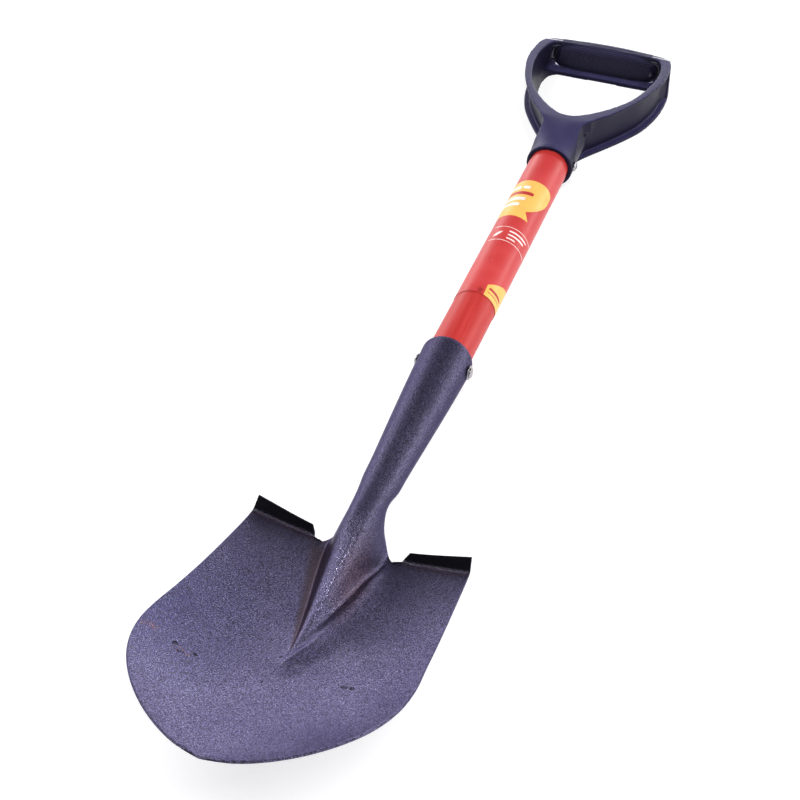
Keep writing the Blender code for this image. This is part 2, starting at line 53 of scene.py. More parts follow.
def smooth_value(knots, place):
    """The value at a place on a smooth curve through knots of (place, value), in rising order."""
    place = min(max(place, knots[0][0]), knots[-1][0])
    i = 0
    while i < len(knots) - 2 and place > knots[i + 1][0]:
        i += 1
    before = knots[i - 1] if i else knots[i]
    after = knots[i + 2] if i + 2 < len(knots) else knots[i + 1]
    start, end = knots[i], knots[i + 1]
    span = end[0] - start[0]
    slope_start = (end[1] - before[1]) / (end[0] - before[0])
    slope_end = (after[1] - start[1]) / (after[0] - start[0])
    s = (place - start[0]) / span
    return (
        (1 + 2 * s) * (1 - s) ** 2 * start[1]
        + s * (1 - s) ** 2 * span * slope_start
        + s * s * (3 - 2 * s) * end[1]
        + s * s * (s - 1) * span * slope_end
    )


def smooth_path(points, count):
    """count points spread evenly along a smooth plane curve through the points."""
    along = [0.0]
    for a, b in zip(points, points[1:]):
        along.append(along[-1] + math.dist(a, b))
    xs = [(s, p[0]) for s, p in zip(along, points)]
    ys = [(s, p[1]) for s, p in zip(along, points)]
    places = [along[-1] * k / (count - 1) for k in range(count)]
    return [(smooth_value(xs, s), smooth_value(ys, s)) for s in places]


def add_object(name, data):
    obj = bpy.data.objects.new(name, data)
    bpy.context.scene.collection.objects.link(obj)
    return obj


def add_mesh(name, bm, smooth=True):
    data = bpy.data.meshes.new(name)
    bm.to_mesh(data)
    bm.free()
    obj = add_object(name, data)
    if smooth:
        data.shade_smooth()
    return obj


def apply_modifiers(obj):
    """Makes what an object's modifiers give its own mesh."""
    bpy.context.view_layer.update()
    graph = bpy.context.evaluated_depsgraph_get()
    data = bpy.data.meshes.new_from_object(obj.evaluated_get(graph), depsgraph=graph)
    obj.modifiers.clear()
    obj.data = data
    return obj


def cut(obj, *cutters):
    """Takes the cutters' shapes out of an object, and removes them."""
    for cutter in cutters:
        made = obj.modifiers.new("cut", "BOOLEAN")
        made.operation = "DIFFERENCE"
        made.solver = "EXACT"
        made.object = cutter
    apply_modifiers(obj)
    for cutter in cutters:
        bpy.data.objects.remove(cutter, do_unlink=True)


def finish_piece(obj, material, replaces=()):
    """Gives a piece its material, body and slot, and the CAD nodes that it stands for."""
    obj.data.materials.clear()
    obj.data.materials.append(material)
    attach(obj, BODY)
    if replaces:
        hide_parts(*replaces)
    return obj


# ---- node materials --------------------------------------


class Nodes:
    """A node tree with short calls for adding nodes."""

    def __init__(self, tree):
        self.tree = tree

    def feed(self, socket, value):
        if isinstance(value, bpy.types.NodeSocket):
            self.tree.links.new(value, socket)
        else:
            socket.default_value = value

    def node(self, kind, fed=(), **settings):
        """A node with its settings, and with what is fed to its inputs, by number or name."""
        made = self.tree.nodes.new(kind)
        for name, value in settings.items():
            setattr(made, name, value)
        for socket, value in dict(fed).items():
            self.feed(made.inputs[socket], value)
        return made


class Material(Nodes):
    """A Principled material, its constants set by name with _ for each space."""

    def __init__(self, name, **constants):
        self.made = bpy.data.materials.new(name)
        self.made.use_nodes = True
        super().__init__(self.made.node_tree)
        self.shader = self.tree.nodes["Principled BSDF"]
        for socket, value in constants.items():
            self.shader.inputs[socket.replace("_", " ")].default_value = value
        self.place = self.node("ShaderNodeTexCoord").outputs["Object"]

    def math(self, operation, *values):
        return self.node("ShaderNodeMath", enumerate(values), operation=operation).outputs[0]

    def times(self, value, *factors):
        for factor in factors:
            value = self.math("MULTIPLY", value, factor)
        return value

    def axes(self, place=None):
        return self.node("ShaderNodeSeparateXYZ", {0: place or self.place}).outputs[:]

    def moved(self, location=(0, 0, 0), scale=(1, 1, 1)):
        fed = {"Vector": self.place, "Location": location, "Scale": scale}
        return self.node("ShaderNodeMapping", fed).outputs[0]

    def noise(self, scale, detail=3.0, roughness=0.5, place=None, distortion=0.0):
        fed = {"Vector": place or self.place, "Scale": scale, "Detail": detail, "Roughness": roughness,
               "Distortion": distortion}
        return self.node("ShaderNodeTexNoise", fed).outputs["Fac"]

    def cells(self, scale, place=None):
        fed = {"Vector": place or self.place, "Scale": scale}
        return self.node("ShaderNodeTexVoronoi", fed).outputs["Distance"]

    def span(self, value, low, high, to_low=0.0, to_high=1.0):
        """A value between low and high turned smoothly into one between to_low and to_high."""
        fed = enumerate((value, low, high, to_low, to_high))
        return self.node("ShaderNodeMapRange", fed, interpolation_type="SMOOTHSTEP").outputs[0]

    def mix(self, amount, a, b):
        return self.node("ShaderNodeMix", {0: amount, 6: a, 7: b}, data_type="RGBA").outputs[2]

    def stain(self, colour, mask, share, tint):
        """A colour with a tint laid over it where the mask is 1, at the given share."""
        return self.mix(self.times(mask, share), colour, tint)

    def near(self, centre, size):
        """1 at a centre, fading to 0 at an ellipsoid of that half-size round it."""
        scale = tuple(1.0 / half for half in size)
        place = self.moved(tuple(-c / half for c, half in zip(centre, size)), scale)
        away = self.node("ShaderNodeVectorMath", {0: place}, operation="LENGTH").outputs["Value"]
        return self.span(away, 1.0, 0.0)

    def bump(self, height, distance, strength=1.0, below=None):
        fed = {"Strength": strength, "Distance": distance, "Height": height}
        if below:
            fed["Normal"] = below
        return self.node("ShaderNodeBump", fed).outputs[0]

    def out(self, **links):
        for socket, value in links.items():
            self.feed(self.shader.inputs[socket.replace("_", " ")], value)
        return self.made


# Patches on the blade: the centre and the half-size of the ellipsoid that each fills.
COOL_REFLECTION_PATCH = (-0.08, -0.285, 0.03), (0.085, 0.1, 0.08)
BROWN_PATCH = (0.0125, -0.214, 0.03), (0.0125, 0.042, 0.05)
RIDGE_TOP_SHADE_PATCH = (0.003, -0.225, 0.045), (0.014, 0.05, 0.04)
PEEL_PATCH = (0.034, -0.23, 0.02), (0.018, 0.042, 0.06)
# Chipped and rubbed places: x and y of the centre, and the half-size along each.
CHIPS = ((0.0387, -0.2897, 0.003, 0.0022), (0.0432, -0.2894, 0.0022, 0.002),
         (-0.0029, -0.2799, 0.0018, 0.0014), (0.0004, -0.2872, 0.001, 0.001),
         (-0.0038, -0.3016, 0.001, 0.001), (-0.042, -0.302, 0.0022, 0.0012),
         (-0.049, -0.305, 0.003, 0.0014), (-0.054, -0.301, 0.0026, 0.002))
RUBS = ((-0.07, -0.2985, 0.009, 0.004), (-0.05, -0.3042, 0.0085, 0.003))
MARK_Z, MARK_HALF_Z = 0.05, 0.2
# Where a mask fades in or out: the places where it is 0 and 1.
NECK_FADE_Y = -0.235, -0.18
FLANK_TOP_FADE_Y, FLANK_TIP_FADE_Y = (-0.178, -0.196), (-0.2775, -0.27)
STEP_BACK_FADE_Y = -0.172, -0.1725
# The worn left flank widens from this place along Y by this much a metre.
FLANK_POINT_Y, FLANK_WIDENING = -0.2777, 0.2412


def coated_steel():
    """Violet hammer-finish coat with metal flake: pale specks over dark, painted shade near black on the
    turned steps.
    """
    m = Material("coated_steel", Metallic=0.85, Coat_Weight=0.12, Coat_Roughness=0.14,
                 Specular_Tint=(0.3, 0.27, 0.45, 1))
    x, y = m.axes()[:2]
    fine = m.noise(1600.0, 2.0, 0.7)
    cells = m.cells(1100.0)
    broad = m.noise(26.0, 3.0, 0.55)
    tone = m.mix(m.span(broad, 0.3, 0.72), (0.123, 0.107, 0.222, 1), (0.172, 0.152, 0.284, 1))
    # Painted reflection: a cooler, bluer tint laid over the left of the dish.
    tone = m.stain(tone, m.near(*COOL_REFLECTION_PATCH), 0.75, (0.052, 0.058, 0.186, 1))
    tone = m.stain(tone, m.near(*BROWN_PATCH), 0.8, (0.33, 0.19, 0.215, 1))
    grain = m.math("ADD", fine, m.times(m.math("SUBTRACT", 0.35, cells), 0.35))
    colour = m.mix(m.span(grain, 0.34, 0.62), (0.04, 0.035, 0.062, 1), tone)
    specks = m.span(m.noise(1900.0, 1.0, 0.5), 0.58, 0.7)
    colour = m.stain(colour, specks, 0.42, (0.42, 0.42, 0.58, 1))
    # Painted shade: darker over the socket, the neck and the ridge's top.
    neck_painted_shade = m.math("MAXIMUM", m.span(y, *NECK_FADE_Y), m.near(*RIDGE_TOP_SHADE_PATCH))
    colour = m.stain(colour, neck_painted_shade, 0.42, (0.034, 0.031, 0.05, 1))

    # Painted shade: the steep left side of the ridge is darkened to a dull dark brown.
    flank_width = m.times(m.math("ADD", y, -FLANK_POINT_Y), -FLANK_WIDENING)
    reach = m.math("DIVIDE", x, flank_width)
    flank_painted_shade = m.times(m.span(reach, 0.22, 0.5), m.span(reach, 1.45, 1.1), m.span(y, *FLANK_TOP_FADE_Y),
                    m.span(y, *FLANK_TIP_FADE_Y))
    colour = m.stain(colour, flank_painted_shade, 0.8, (0.06, 0.042, 0.046, 1))

    # Painted shadow: a dark brown band along each step's fold; painted shade: near black past it.
    (inner_x, inner_y), (outer_x, outer_y) = STEP_FOLD
    slope = (outer_y - inner_y) / (outer_x - inner_x)
    out = m.math("ABSOLUTE", x)
    past_fold = m.math("SUBTRACT", y, m.math("MULTIPLY_ADD", out, slope, inner_y - slope * inner_x))
    along_step = m.times(m.span(out, inner_x - 0.002, inner_x - 0.0006), m.span(y, *STEP_BACK_FADE_Y))
    fold_painted_shadow = m.times(m.span(past_fold, -0.0042, -0.0016), along_step)
    colour = m.stain(colour, fold_painted_shadow, 0.6, (0.05, 0.036, 0.048, 1))
    turned_up_painted_shade = m.times(m.span(past_fold, 0.0003, 0.0016), along_step)
    colour = m.mix(turned_up_painted_shade, colour, (0.012, 0.011, 0.016, 1))

    scatter = m.noise(520.0, 4.0, 0.7, distortion=1.2)
    marks = ((RUBS, (0.18, 0.085, 0.06, 1), 0.52), (CHIPS, (0.003, 0.002, 0.004, 1), 0.38))
    for spots, tint, least in marks:
        mark = 0.0
        for centre_x, centre_y, half_x, half_y in spots:
            spot = m.near((centre_x, centre_y, MARK_Z), (half_x, half_y, MARK_HALF_Z))
            mark = m.math("MAXIMUM", mark, spot)
        mark = m.times(m.span(mark, 0.05, 0.4), m.span(scatter, least, least + 0.1))
        colour = m.stain(colour, mark, 0.95, tint)
    rough = m.math("SUBTRACT", m.span(fine, 0.3, 0.7, 0.32, 0.46), m.times(specks, 0.24))
    peel = m.times(m.cells(480.0), m.near(*PEEL_PATCH))
    height = m.math("ADD", m.math("ADD", m.times(cells, 0.7), fine), m.times(peel, 3.0))
    normal = m.bump(height, 0.00015)
    return m.out(Base_Color=colour, Roughness=rough, Normal=normal, Coat_Normal=normal)


def red_fibreglass():
    """Glossy red resin with streaks along the tube, darker clouds and a few dark pits."""
    m = Material("red_fibreglass", Coat_Weight=0.04, Coat_Roughness=0.12, Specular_IOR_Level=0.18)
    along = m.moved(scale=(1.0, 0.05, 1.0))
    streaks = m.noise(420.0, 3.0, 0.6, place=along)
    broad = m.noise(35.0, 2.0)
    colour = m.mix(m.span(streaks, 0.35, 0.7), (0.45, 0.029, 0.027, 1), (0.51, 0.038, 0.034, 1))
    colour = m.stain(colour, m.span(broad, 0.5, 0.75), 0.4, (0.42, 0.02, 0.02, 1))
    pits = m.span(m.cells(210.0, place=m.moved(scale=(1, 0.6, 1))), 0.06, 0.03)
    rare = m.span(m.noise(60.0, 2.0), 0.56, 0.62)
    colour = m.stain(colour, pits, rare, (0.14, 0.01, 0.012, 1))
    normal = m.bump(streaks, 0.00006, 0.5)
    return m.out(Base_Color=colour, Roughness=m.span(streaks, 0.3, 0.7, 0.34, 0.46), Normal=normal)


BRUISE_PATCH = (0.003, 0.029, 0.034), (0.0032, 0.0042, 0.006)


def label_film():
    """Clear film that shows the red under it, dusty, dark along its low edge and bruised there."""
    m = Material("clear_film", Coat_Weight=0.05, Coat_Roughness=0.12, Specular_IOR_Level=0.2)
    broad = m.noise(30.0, 3.0, 0.6)
    colour = m.mix(m.span(broad, 0.35, 0.7), (0.52, 0.039, 0.04, 1), (0.57, 0.052, 0.054, 1))
    dust = m.span(m.cells(260.0), 0.07, 0.03)
    rare = m.span(m.noise(55.0, 2.0), 0.55, 0.62)
    colour = m.stain(colour, dust, rare, (0.92, 0.6, 0.58, 1))
    y = m.axes()[1]
    edge = m.times(m.span(y, LABEL_LOW_Y + 0.0012, LABEL_LOW_Y + 0.0003), 0.5)
    bruise = m.times(m.near(*BRUISE_PATCH), 0.8)
    colour = m.mix(m.math("MAXIMUM", edge, bruise), colour, (0.22, 0.014, 0.016, 1))
    normal = m.bump(m.noise(90.0, 3.0, 0.6), 0.0001, 0.35)
    return m.out(Base_Color=colour, Roughness=m.span(broad, 0.3, 0.7, 0.3, 0.4), Normal=normal)


def ink(name, colour, worn):
    """Printing ink in one colour, patchy where it is worn."""
    m = Material(name, Coat_Weight=0.05, Coat_Roughness=0.12, Specular_IOR_Level=0.2)
    wear = m.noise(160.0, 4.0, 0.6)
    tone = m.mix(m.span(wear, 0.35, 0.8), colour, worn)
    return m.out(Base_Color=tone, Roughness=m.span(wear, 0.3, 0.7, 0.28, 0.42))


KNURL_PITCH = 3000.0  # radians a metre
BAR_FADE_LOW_Y, BAR_FADE_HIGH_Y = (0.348, 0.3495), (0.3625, 0.36)
BAR_FADE_RADIUS = 0.0134, 0.013
KNURL_END_X, POLISH_START_X = 0.0392, 0.0376


def grip_plastic():
    """Satin navy plastic, with painted shade that makes every face not looking up far darker.

    The crossbar has a fine diamond pattern on its finger side and is polished at its ends.
    """
    m = Material("grip_plastic", Specular_IOR_Level=0.14, Specular_Tint=(0.62, 0.52, 1.0, 1),
                 Coat_Roughness=0.07)
    x, y, z = m.axes()
    fine = m.noise(1800.0, 2.0, 0.6)
    broad = m.noise(45.0, 3.0, 0.55)
    colour = m.mix(m.span(broad, 0.3, 0.7), (0.033, 0.03, 0.08, 1), (0.042, 0.039, 0.1, 1))
    # Painted shade: faces that do not look up are made much darker.
    facing = m.node("ShaderNodeNewGeometry").outputs["Normal"]
    upward_painted_shade = m.span(m.axes(facing)[2], 0.35, 0.85)
    colour = m.mix(upward_painted_shade, (0.009, 0.008, 0.021, 1), colour)
    reach = m.math("ABSOLUTE", x)
    off_y = m.math("POWER", m.math("SUBTRACT", y, BAR_Y), 2.0)
    off_z = m.math("POWER", m.math("SUBTRACT", z, BAR_Z + AXIS_Z), 2.0)
    radius = m.math("SQRT", m.math("ADD", off_y, off_z))
    on_bar = m.times(m.span(y, *BAR_FADE_LOW_Y), m.span(y, *BAR_FADE_HIGH_Y),
                     m.span(radius, *BAR_FADE_RADIUS))
    knurled = m.times(on_bar, m.span(reach, KNURL_END_X, POLISH_START_X))
    polished = m.times(on_bar, m.span(reach, POLISH_START_X, KNURL_END_X))
    # Painted shade: the knurled zone is darkened, so its valleys read as shaded.
    colour = m.stain(colour, knurled, 0.45, (0.012, 0.011, 0.022, 1))
    dust = m.span(m.cells(190.0), 0.055, 0.02)
    rare = m.span(m.noise(40.0, 2.0), 0.58, 0.64)
    colour = m.stain(colour, m.times(dust, rare), 0.7, (0.3, 0.25, 0.28, 1))
    rough = m.math("ADD", m.span(broad, 0.3, 0.7, 0.36, 0.44), m.times(knurled, 0.1))
    rough = m.math("SUBTRACT", rough, m.times(polished, 0.29))
    across = m.math("SINE", m.times(m.math("ADD", x, z), KNURL_PITCH))
    along = m.math("SINE", m.times(m.math("SUBTRACT", x, z), KNURL_PITCH))
    diamonds = m.times(across, along, knurled)
    # Painted highlights: lighter colour on the tops of the knurl's diamonds.
    colour = m.stain(colour, m.span(diamonds, 0.25, 0.85), 0.6, (0.085, 0.08, 0.14, 1))
    normal = m.bump(diamonds, 0.0003, below=m.bump(fine, 0.00005, 0.35))
    return m.out(Base_Color=colour, Roughness=rough, Normal=normal, Coat_Weight=m.times(polished, 0.9))


def bright_steel():
    """Bright plated steel, scratched and stained in patches."""
    m = Material("bright_steel", Metallic=1.0)
    scratches = m.noise(900.0, 3.0, 0.6, place=m.moved(scale=(1.0, 1.0, 0.15)))
    stain = m.noise(320.0, 3.0, 0.6)
    colour = m.mix(m.span(stain, 0.45, 0.72), (0.42, 0.42, 0.45, 1), (0.22, 0.19, 0.18, 1))
    return m.out(Base_Color=colour, Roughness=m.span(scratches, 0.3, 0.7, 0.2, 0.42))


def wood():
    """Plain softwood with its grain along the dowel."""
    m = Material("wood")
    rings = m.noise(260.0, 4.0, 0.6, place=m.moved(scale=(1.0, 0.06, 1.0)), distortion=0.6)
    colour = m.mix(m.span(rings, 0.35, 0.7), (0.52, 0.34, 0.17, 1), (0.66, 0.48, 0.27, 1))
    normal = m.bump(rings, 0.0001, 0.4)
    return m.out(Base_Color=colour, Roughness=m.span(rings, 0.3, 0.7, 0.6, 0.8), Normal=normal)


# ---- blade -----------------------------------------------

SHEET = 0.0016
SOCKET_MOUTH_Y, SOCKET_END_Y = -0.0255, -0.141
NECK_END_Y, SHOULDER_END_Y = -0.19, -0.232
TIP_Y, TIP_HEIGHT = -0.3704, 0.048
SOCKET_RIDGE_ANGLE = math.radians(105.0)
SEAM_HALF_GAP, MOUTH_SLANT = 0.0005, 0.17
SOCKET_RADIUS = ((-0.156, 0.012), (-0.132, 0.0126), (-0.096, 0.0146), (-0.06, 0.0165), (-0.024, 0.018))
NECK_EDGE = ((0.0005, -0.141), (0.011, -0.151), (0.0154, -0.162), (0.0167, -0.17), (0.0182, -0.1768),
             (0.0205, -0.182), (0.0236, -0.1845), (0.0264, -0.1844), (0.0285, -0.183))
STEP_FOLD = ((0.0285, -0.183), (0.0698, -0.1812))
SIDE_EDGE = ((0.0698, -0.1812), (0.0709, -0.2), (0.0729, -0.23), (0.0751, -0.262), (0.0768, -0.286),
             (0.075, -0.3045), (0.0686, -0.3215), (0.058, -0.3368), (0.0446, -0.35), (0.0298, -0.3602),
             (0.015, -0.367), (0.0, -0.3704))
SIDE_KNOTS = [(y, x) for x, y in reversed(SIDE_EDGE)]
LEAST_HALF_WIDTH = 0.004
RIM_HEIGHT = ((-0.3704, 0.048), (-0.352, 0.0447), (-0.333, 0.0398), (-0.304, 0.0303), (-0.276, 0.0186),
              (-0.239, 0.0045), (-0.2, -0.0072), (-0.181, -0.0115), (-0.141, -0.015))
CENTRE_HEIGHT = ((-0.3704, 0.048), (-0.35, 0.0345), (-0.32, 0.018), (-0.275, 0.001), (-0.23, -0.0108),
                 (-0.184, -0.0184), (-0.141, -0.019))
# The ridge that carries the socket's shape down into the blade: height and half-width along Y.
RIDGE_HEIGHT = ((-0.28, 0.0), (-0.268, 0.001), (-0.2553, 0.0029), (-0.2422, 0.0066), (-0.2288, 0.012),
                (-0.2134, 0.0186), (-0.2, 0.024), (-0.19, 0.0276), (-0.18, 0.0299), (-0.168, 0.0307))
RIDGE_HALF_WIDTH = ((-0.28, 0.0002), (-0.268, 0.0024), (-0.2578, 0.0044), (-0.2445, 0.0074),
                    (-0.227, 0.0114), (-0.2123, 0.015), (-0.1977, 0.018), (-0.186, 0.0195))
# How full the ridge's section is: anywhere, and what the neck and the left flank add to it.
FULLNESS, NECK_FULLNESS, LEFT_FULLNESS = 1.25, 0.3, 0.35
NECK_FULLNESS_Y, NECK_FULLNESS_FADE = -0.225, 0.035
LEFT_FULLNESS_Y, LEFT_FULLNESS_FADE, LEFT_FULLNESS_BLEND = -0.2, 0.03, 0.004
# The raised tongue on the ridge's right, with a soft lip along its edge: half-width along Y.
TONGUE_EDGE = ((-0.281, 0.0), (-0.274, 0.004), (-0.264, 0.0086), (-0.25, 0.0114), (-0.239, 0.0136),
               (-0.223, 0.0165), (-0.2, 0.0188), (-0.182, 0.0208))
TONGUE_HEIGHT, TONGUE_SLOPE, TONGUE_REACH = 0.0022, 0.015, 0.033
TONGUE_START_Y, TONGUE_FADE, TONGUE_SIDE_BLEND = -0.182, 0.03, 0.016
LIP_HEIGHT, LIP_SPREAD = 0.0021, 0.0036
RIDGE_LEAST_WIDTH = 0.005
# The most that the ridge's columns may take of a half's width, and the tongue's of what is left.
RIDGE_SHARE, TONGUE_SHARE = 0.62, 0.45
STEP_LENGTH_INNER, STEP_LENGTH_OUTER = 0.0064, 0.0088
STEP_BEND = 0.0018
STEP_RISE_Y, STEP_RISE_Z = 0.7, 0.71
STEP_LEAN_INNER, STEP_LEAN_OUTER = 0.55, -0.14
SOCKET_ROWS, NECK_ROWS, STEP_ROWS, SIDE_ROWS = 34, 44, 30, 90
BEND_ROWS, UPRIGHT_ROWS = 5, 4
NECK_OPENING_RATE, SIDE_ROW_SPREAD = 1.12, 0.85
RIDGE_COLUMNS, TONGUE_COLUMNS, OUTER_COLUMNS = 22, 16, 24
COLUMNS = RIDGE_COLUMNS + TONGUE_COLUMNS + OUTER_COLUMNS + 1
SAME_PLACE, EDGE_ROUND = 0.00002, 0.00035


def ridge_rise(x, y):
    """How far the ridge stands over the dish at a place."""
    if y < RIDGE_HEIGHT[0][0]:
        return 0.0
    reach = abs(x) / smooth_value(RIDGE_HALF_WIDTH, y)
    if reach >= 1.0:
        return 0.0
    at_neck = smoothstep((y - NECK_FULLNESS_Y) / NECK_FULLNESS_FADE)
    at_left = smoothstep(-x / LEFT_FULLNESS_BLEND) * smoothstep((LEFT_FULLNESS_Y - y) / LEFT_FULLNESS_FADE)
    fullness = FULLNESS + NECK_FULLNESS * at_neck + LEFT_FULLNESS * at_left
    return smooth_value(RIDGE_HEIGHT, y) * 0.5 * (1.0 + math.cos(math.pi * reach**fullness))


def tongue_rise(x, y):
    """How far the tongue and its lip stand over the dish at a place; they fade out on the left."""
    past_tip = TONGUE_EDGE[0][0] - y
    right = max(x, 0.0)
    out = math.hypot(right, past_tip) if past_tip > 0.0 else right - smooth_value(TONGUE_EDGE, y)
    side = smoothstep(x / TONGUE_SIDE_BLEND + 0.5)
    fade = smoothstep((TONGUE_START_Y - y) / TONGUE_FADE)
    plate = TONGUE_HEIGHT * (1.0 - smoothstep(out / TONGUE_SLOPE))
    lip = LIP_HEIGHT * math.exp(-((out / LIP_SPREAD) ** 2))
    return fade * side * (plate + lip)


def blade_height(x, y):
    """Height of the blade's upper face at a place, from the shaft's axis."""
    centre = smooth_value(CENTRE_HEIGHT, y)
    rim = smooth_value(RIM_HEIGHT, y)
    half = max(smooth_value(SIDE_KNOTS, y), LEAST_HALF_WIDTH)
    across = min(abs(x) / half, 1.0)
    return centre + (rim - centre) * across**2 + ridge_rise(x, y) + tongue_rise(x, y)


def column_places(centre_y, edge_x):
    """Distances from the middle line at which a row across the blade has its points."""
    ridge = min(max(smooth_value(RIDGE_HALF_WIDTH, centre_y), RIDGE_LEAST_WIDTH), RIDGE_SHARE * edge_x)
    tongue = min(TONGUE_REACH, ridge + TONGUE_SHARE * (edge_x - ridge))
    places = [ridge * k / RIDGE_COLUMNS for k in range(RIDGE_COLUMNS)]
    places += [ridge + (tongue - ridge) * k / TONGUE_COLUMNS for k in range(TONGUE_COLUMNS)]
    places += [tongue + (edge_x - tongue) * k / OUTER_COLUMNS for k in range(OUTER_COLUMNS + 1)]
    return places


def wing_row(centre_y, edge, side):
    """Half a row across the blade, from the middle line to its edge."""
    edge_x, edge_y = edge
    row = []
    for x in column_places(centre_y, edge_x):
        y = centre_y + (edge_y - centre_y) * (x / edge_x) ** 2
        row.append(Vector((x, y, blade_height(side * x, y))))
    return row


def socket_row(y):
    """Half a ring of the rolled socket, from its top to the open seam underneath."""
    radius = smooth_value(SOCKET_RADIUS, y)
    sweep = math.pi - SEAM_HALF_GAP / radius
    slant = MOUTH_SLANT * smoothstep((y - SOCKET_END_Y) / (SOCKET_MOUTH_Y - SOCKET_END_Y))
    row = []
    for column in range(COLUMNS):
        if column <= RIDGE_COLUMNS:
            angle = SOCKET_RIDGE_ANGLE * column / RIDGE_COLUMNS
        else:
            past = (column - RIDGE_COLUMNS) / (COLUMNS - 1 - RIDGE_COLUMNS)
            angle = SOCKET_RIDGE_ANGLE + (sweep - SOCKET_RIDGE_ANGLE) * past
        x, z = radius * math.sin(angle), radius * math.cos(angle)
        row.append(Vector((x, y + slant * (z - radius), z)))
    return row


def blade_rows(side):
    """(row, is_step) from the socket's mouth to the blade's point, for the right (1) or left (-1) half."""
    rows = []
    for k in range(SOCKET_ROWS):
        y = SOCKET_MOUTH_Y + (SOCKET_END_Y - SOCKET_MOUTH_Y) * k / SOCKET_ROWS
        rows.append((socket_row(y), False))
    neck_edges = smooth_path(NECK_EDGE, NECK_ROWS + 1)
    for k in range(NECK_ROWS):
        t = k / NECK_ROWS
        y = SOCKET_END_Y + (NECK_END_Y - SOCKET_END_Y) * t
        opened = smoothstep(t * NECK_OPENING_RATE)
        pairs = zip(socket_row(y), wing_row(y, neck_edges[k], side))
        rows.append(([a.lerp(b, opened) for a, b in pairs], False))
    step_edges = smooth_path(STEP_FOLD, STEP_ROWS)
    for k in range(STEP_ROWS):
        y = NECK_END_Y + (SHOULDER_END_Y - NECK_END_Y) * k / (STEP_ROWS - 1)
        rows.append((wing_row(y, step_edges[k], side), True))
    side_edges = smooth_path(SIDE_EDGE, SIDE_ROWS + 1)
    for k in range(1, SIDE_ROWS):
        t = k / SIDE_ROWS
        y = SHOULDER_END_Y + (TIP_Y - SHOULDER_END_Y) * t**SIDE_ROW_SPREAD
        rows.append((wing_row(y, side_edges[k], side), False))
    return rows


def step_points(edge, inner_row, t):
    """The bend and the upright of one turned step, from the fold line out."""
    along = (edge - inner_row).normalized()
    outward = Vector((0.0, along.y, along.z)).normalized()
    lean = STEP_LEAN_INNER + (STEP_LEAN_OUTER - STEP_LEAN_INNER) * t
    rise = Vector((lean, STEP_RISE_Y, STEP_RISE_Z)).normalized()
    corner = edge + outward * STEP_BEND
    top = corner + rise * STEP_BEND
    length = STEP_LENGTH_INNER + (STEP_LENGTH_OUTER - STEP_LENGTH_INNER) * t
    points = []
    for k in range(1, BEND_ROWS + 1):
        s = k / BEND_ROWS
        points.append(edge * (1 - s) ** 2 + corner * (2 * s * (1 - s)) + top * s**2)
    for k in range(1, UPRIGHT_ROWS + 1):
        points.append(corner + rise * (STEP_BEND + (length - STEP_BEND) * k / UPRIGHT_ROWS))
    return points


def build_blade():
    """One pressed sheet: rolled socket, neck, turned steps and dished blade, made half by half."""
    bm = bmesh.new()
    for side in (1.0, -1.0):
        previous, step_index = None, 0
        for points, is_step in blade_rows(side):
            line = [bm.verts.new((side * p.x, p.y, p.z)) for p in points]
            flange = None
            if is_step:
                extra = step_points(points[-1], points[-2], step_index / (STEP_ROWS - 1))
                flange = [line[-1]] + [bm.verts.new((side * p.x, p.y, p.z)) for p in extra]
                step_index += 1
            if previous:
                strips = [(previous[0], line)]
                if flange and previous[1]:
                    strips.append((previous[1], flange))
                for a, b in strips:
                    for i in range(len(a) - 1):
                        corners = (a[i], b[i], b[i + 1], a[i + 1])
                        bm.faces.new(corners if side > 0 else corners[::-1])
            previous = (line, flange)
        tip = bm.verts.new((0.0, TIP_Y, TIP_HEIGHT))
        line = previous[0]
        for i in range(COLUMNS - 1):
            corners = (line[i], tip, line[i + 1])
            bm.faces.new(corners if side > 0 else corners[::-1])
    bmesh.ops.remove_doubles(bm, verts=bm.verts, dist=SAME_PLACE)
    for vert in bm.verts:
        vert.co.z += AXIS_Z
    blade = add_mesh("blade_pressing", bm)
    sheet = blade.modifiers.new("sheet", "SOLIDIFY")
    sheet.thickness = SHEET
    sheet.offset = -1.0
    sheet.use_quality_normals = True
    edge = blade.modifiers.new("edge", "BEVEL")
    edge.width = EDGE_ROUND
    edge.segments = 2
    edge.limit_method = "ANGLE"
    edge.angle_limit = math.radians(55.0)
    finish_piece(apply_modifiers(blade), coated_steel(), ["blade"])


# ---- shaft and label -------------------------------------


def tube(name, outer, inner, low, high, segments=128, rows=2, wave=None):
    """An open-ended tube along Y. wave(angle) moves its low end."""
    bm = bmesh.new()
    rings = []
    stations = [low + (high - low) * k / rows for k in range(rows + 1)]
    path = [(outer, y) for y in stations] + [(inner, y) for y in reversed(stations)]
    for radius, y in path:
        ring = []
        for k in range(segments):
            angle = 2 * math.pi * k / segments
            shift = wave(angle) * (1 - (y - low) / (high - low)) if wave else 0.0
            height = AXIS_Z + radius * math.cos(angle)
            ring.append(bm.verts.new((radius * math.sin(angle), y + shift, height)))
        rings.append(ring)
    for a, b in zip(rings, rings[1:] + rings[:1]):
        for k in range(segments):
            j = (k + 1) % segments
            bm.faces.new((a[k], b[k], b[j], a[j]))
    bmesh.ops.recalc_face_normals(bm, faces=bm.faces)
    made = add_mesh(name, bm)
    made.data.set_sharp_from_angle(angle=math.radians(40))
    return made


SHAFT_RADIUS, SHAFT_BORE = 0.0148, 0.0124
SHAFT_LOW_Y, SHAFT_TOP_Y = -0.052, 0.234
LABEL_RADIUS, LABEL_BORE = 0.0151, 0.0149
LABEL_LOW_Y, LABEL_TOP_Y = 0.0256, 0.191
INK_RADIUS = LABEL_RADIUS + 0.00004
INK_THICKNESS = 0.00006
BAR_HEIGHT, NOTE_BAR_HEIGHT, RULE_HEIGHT = 0.0036, 0.0014, 0.0005
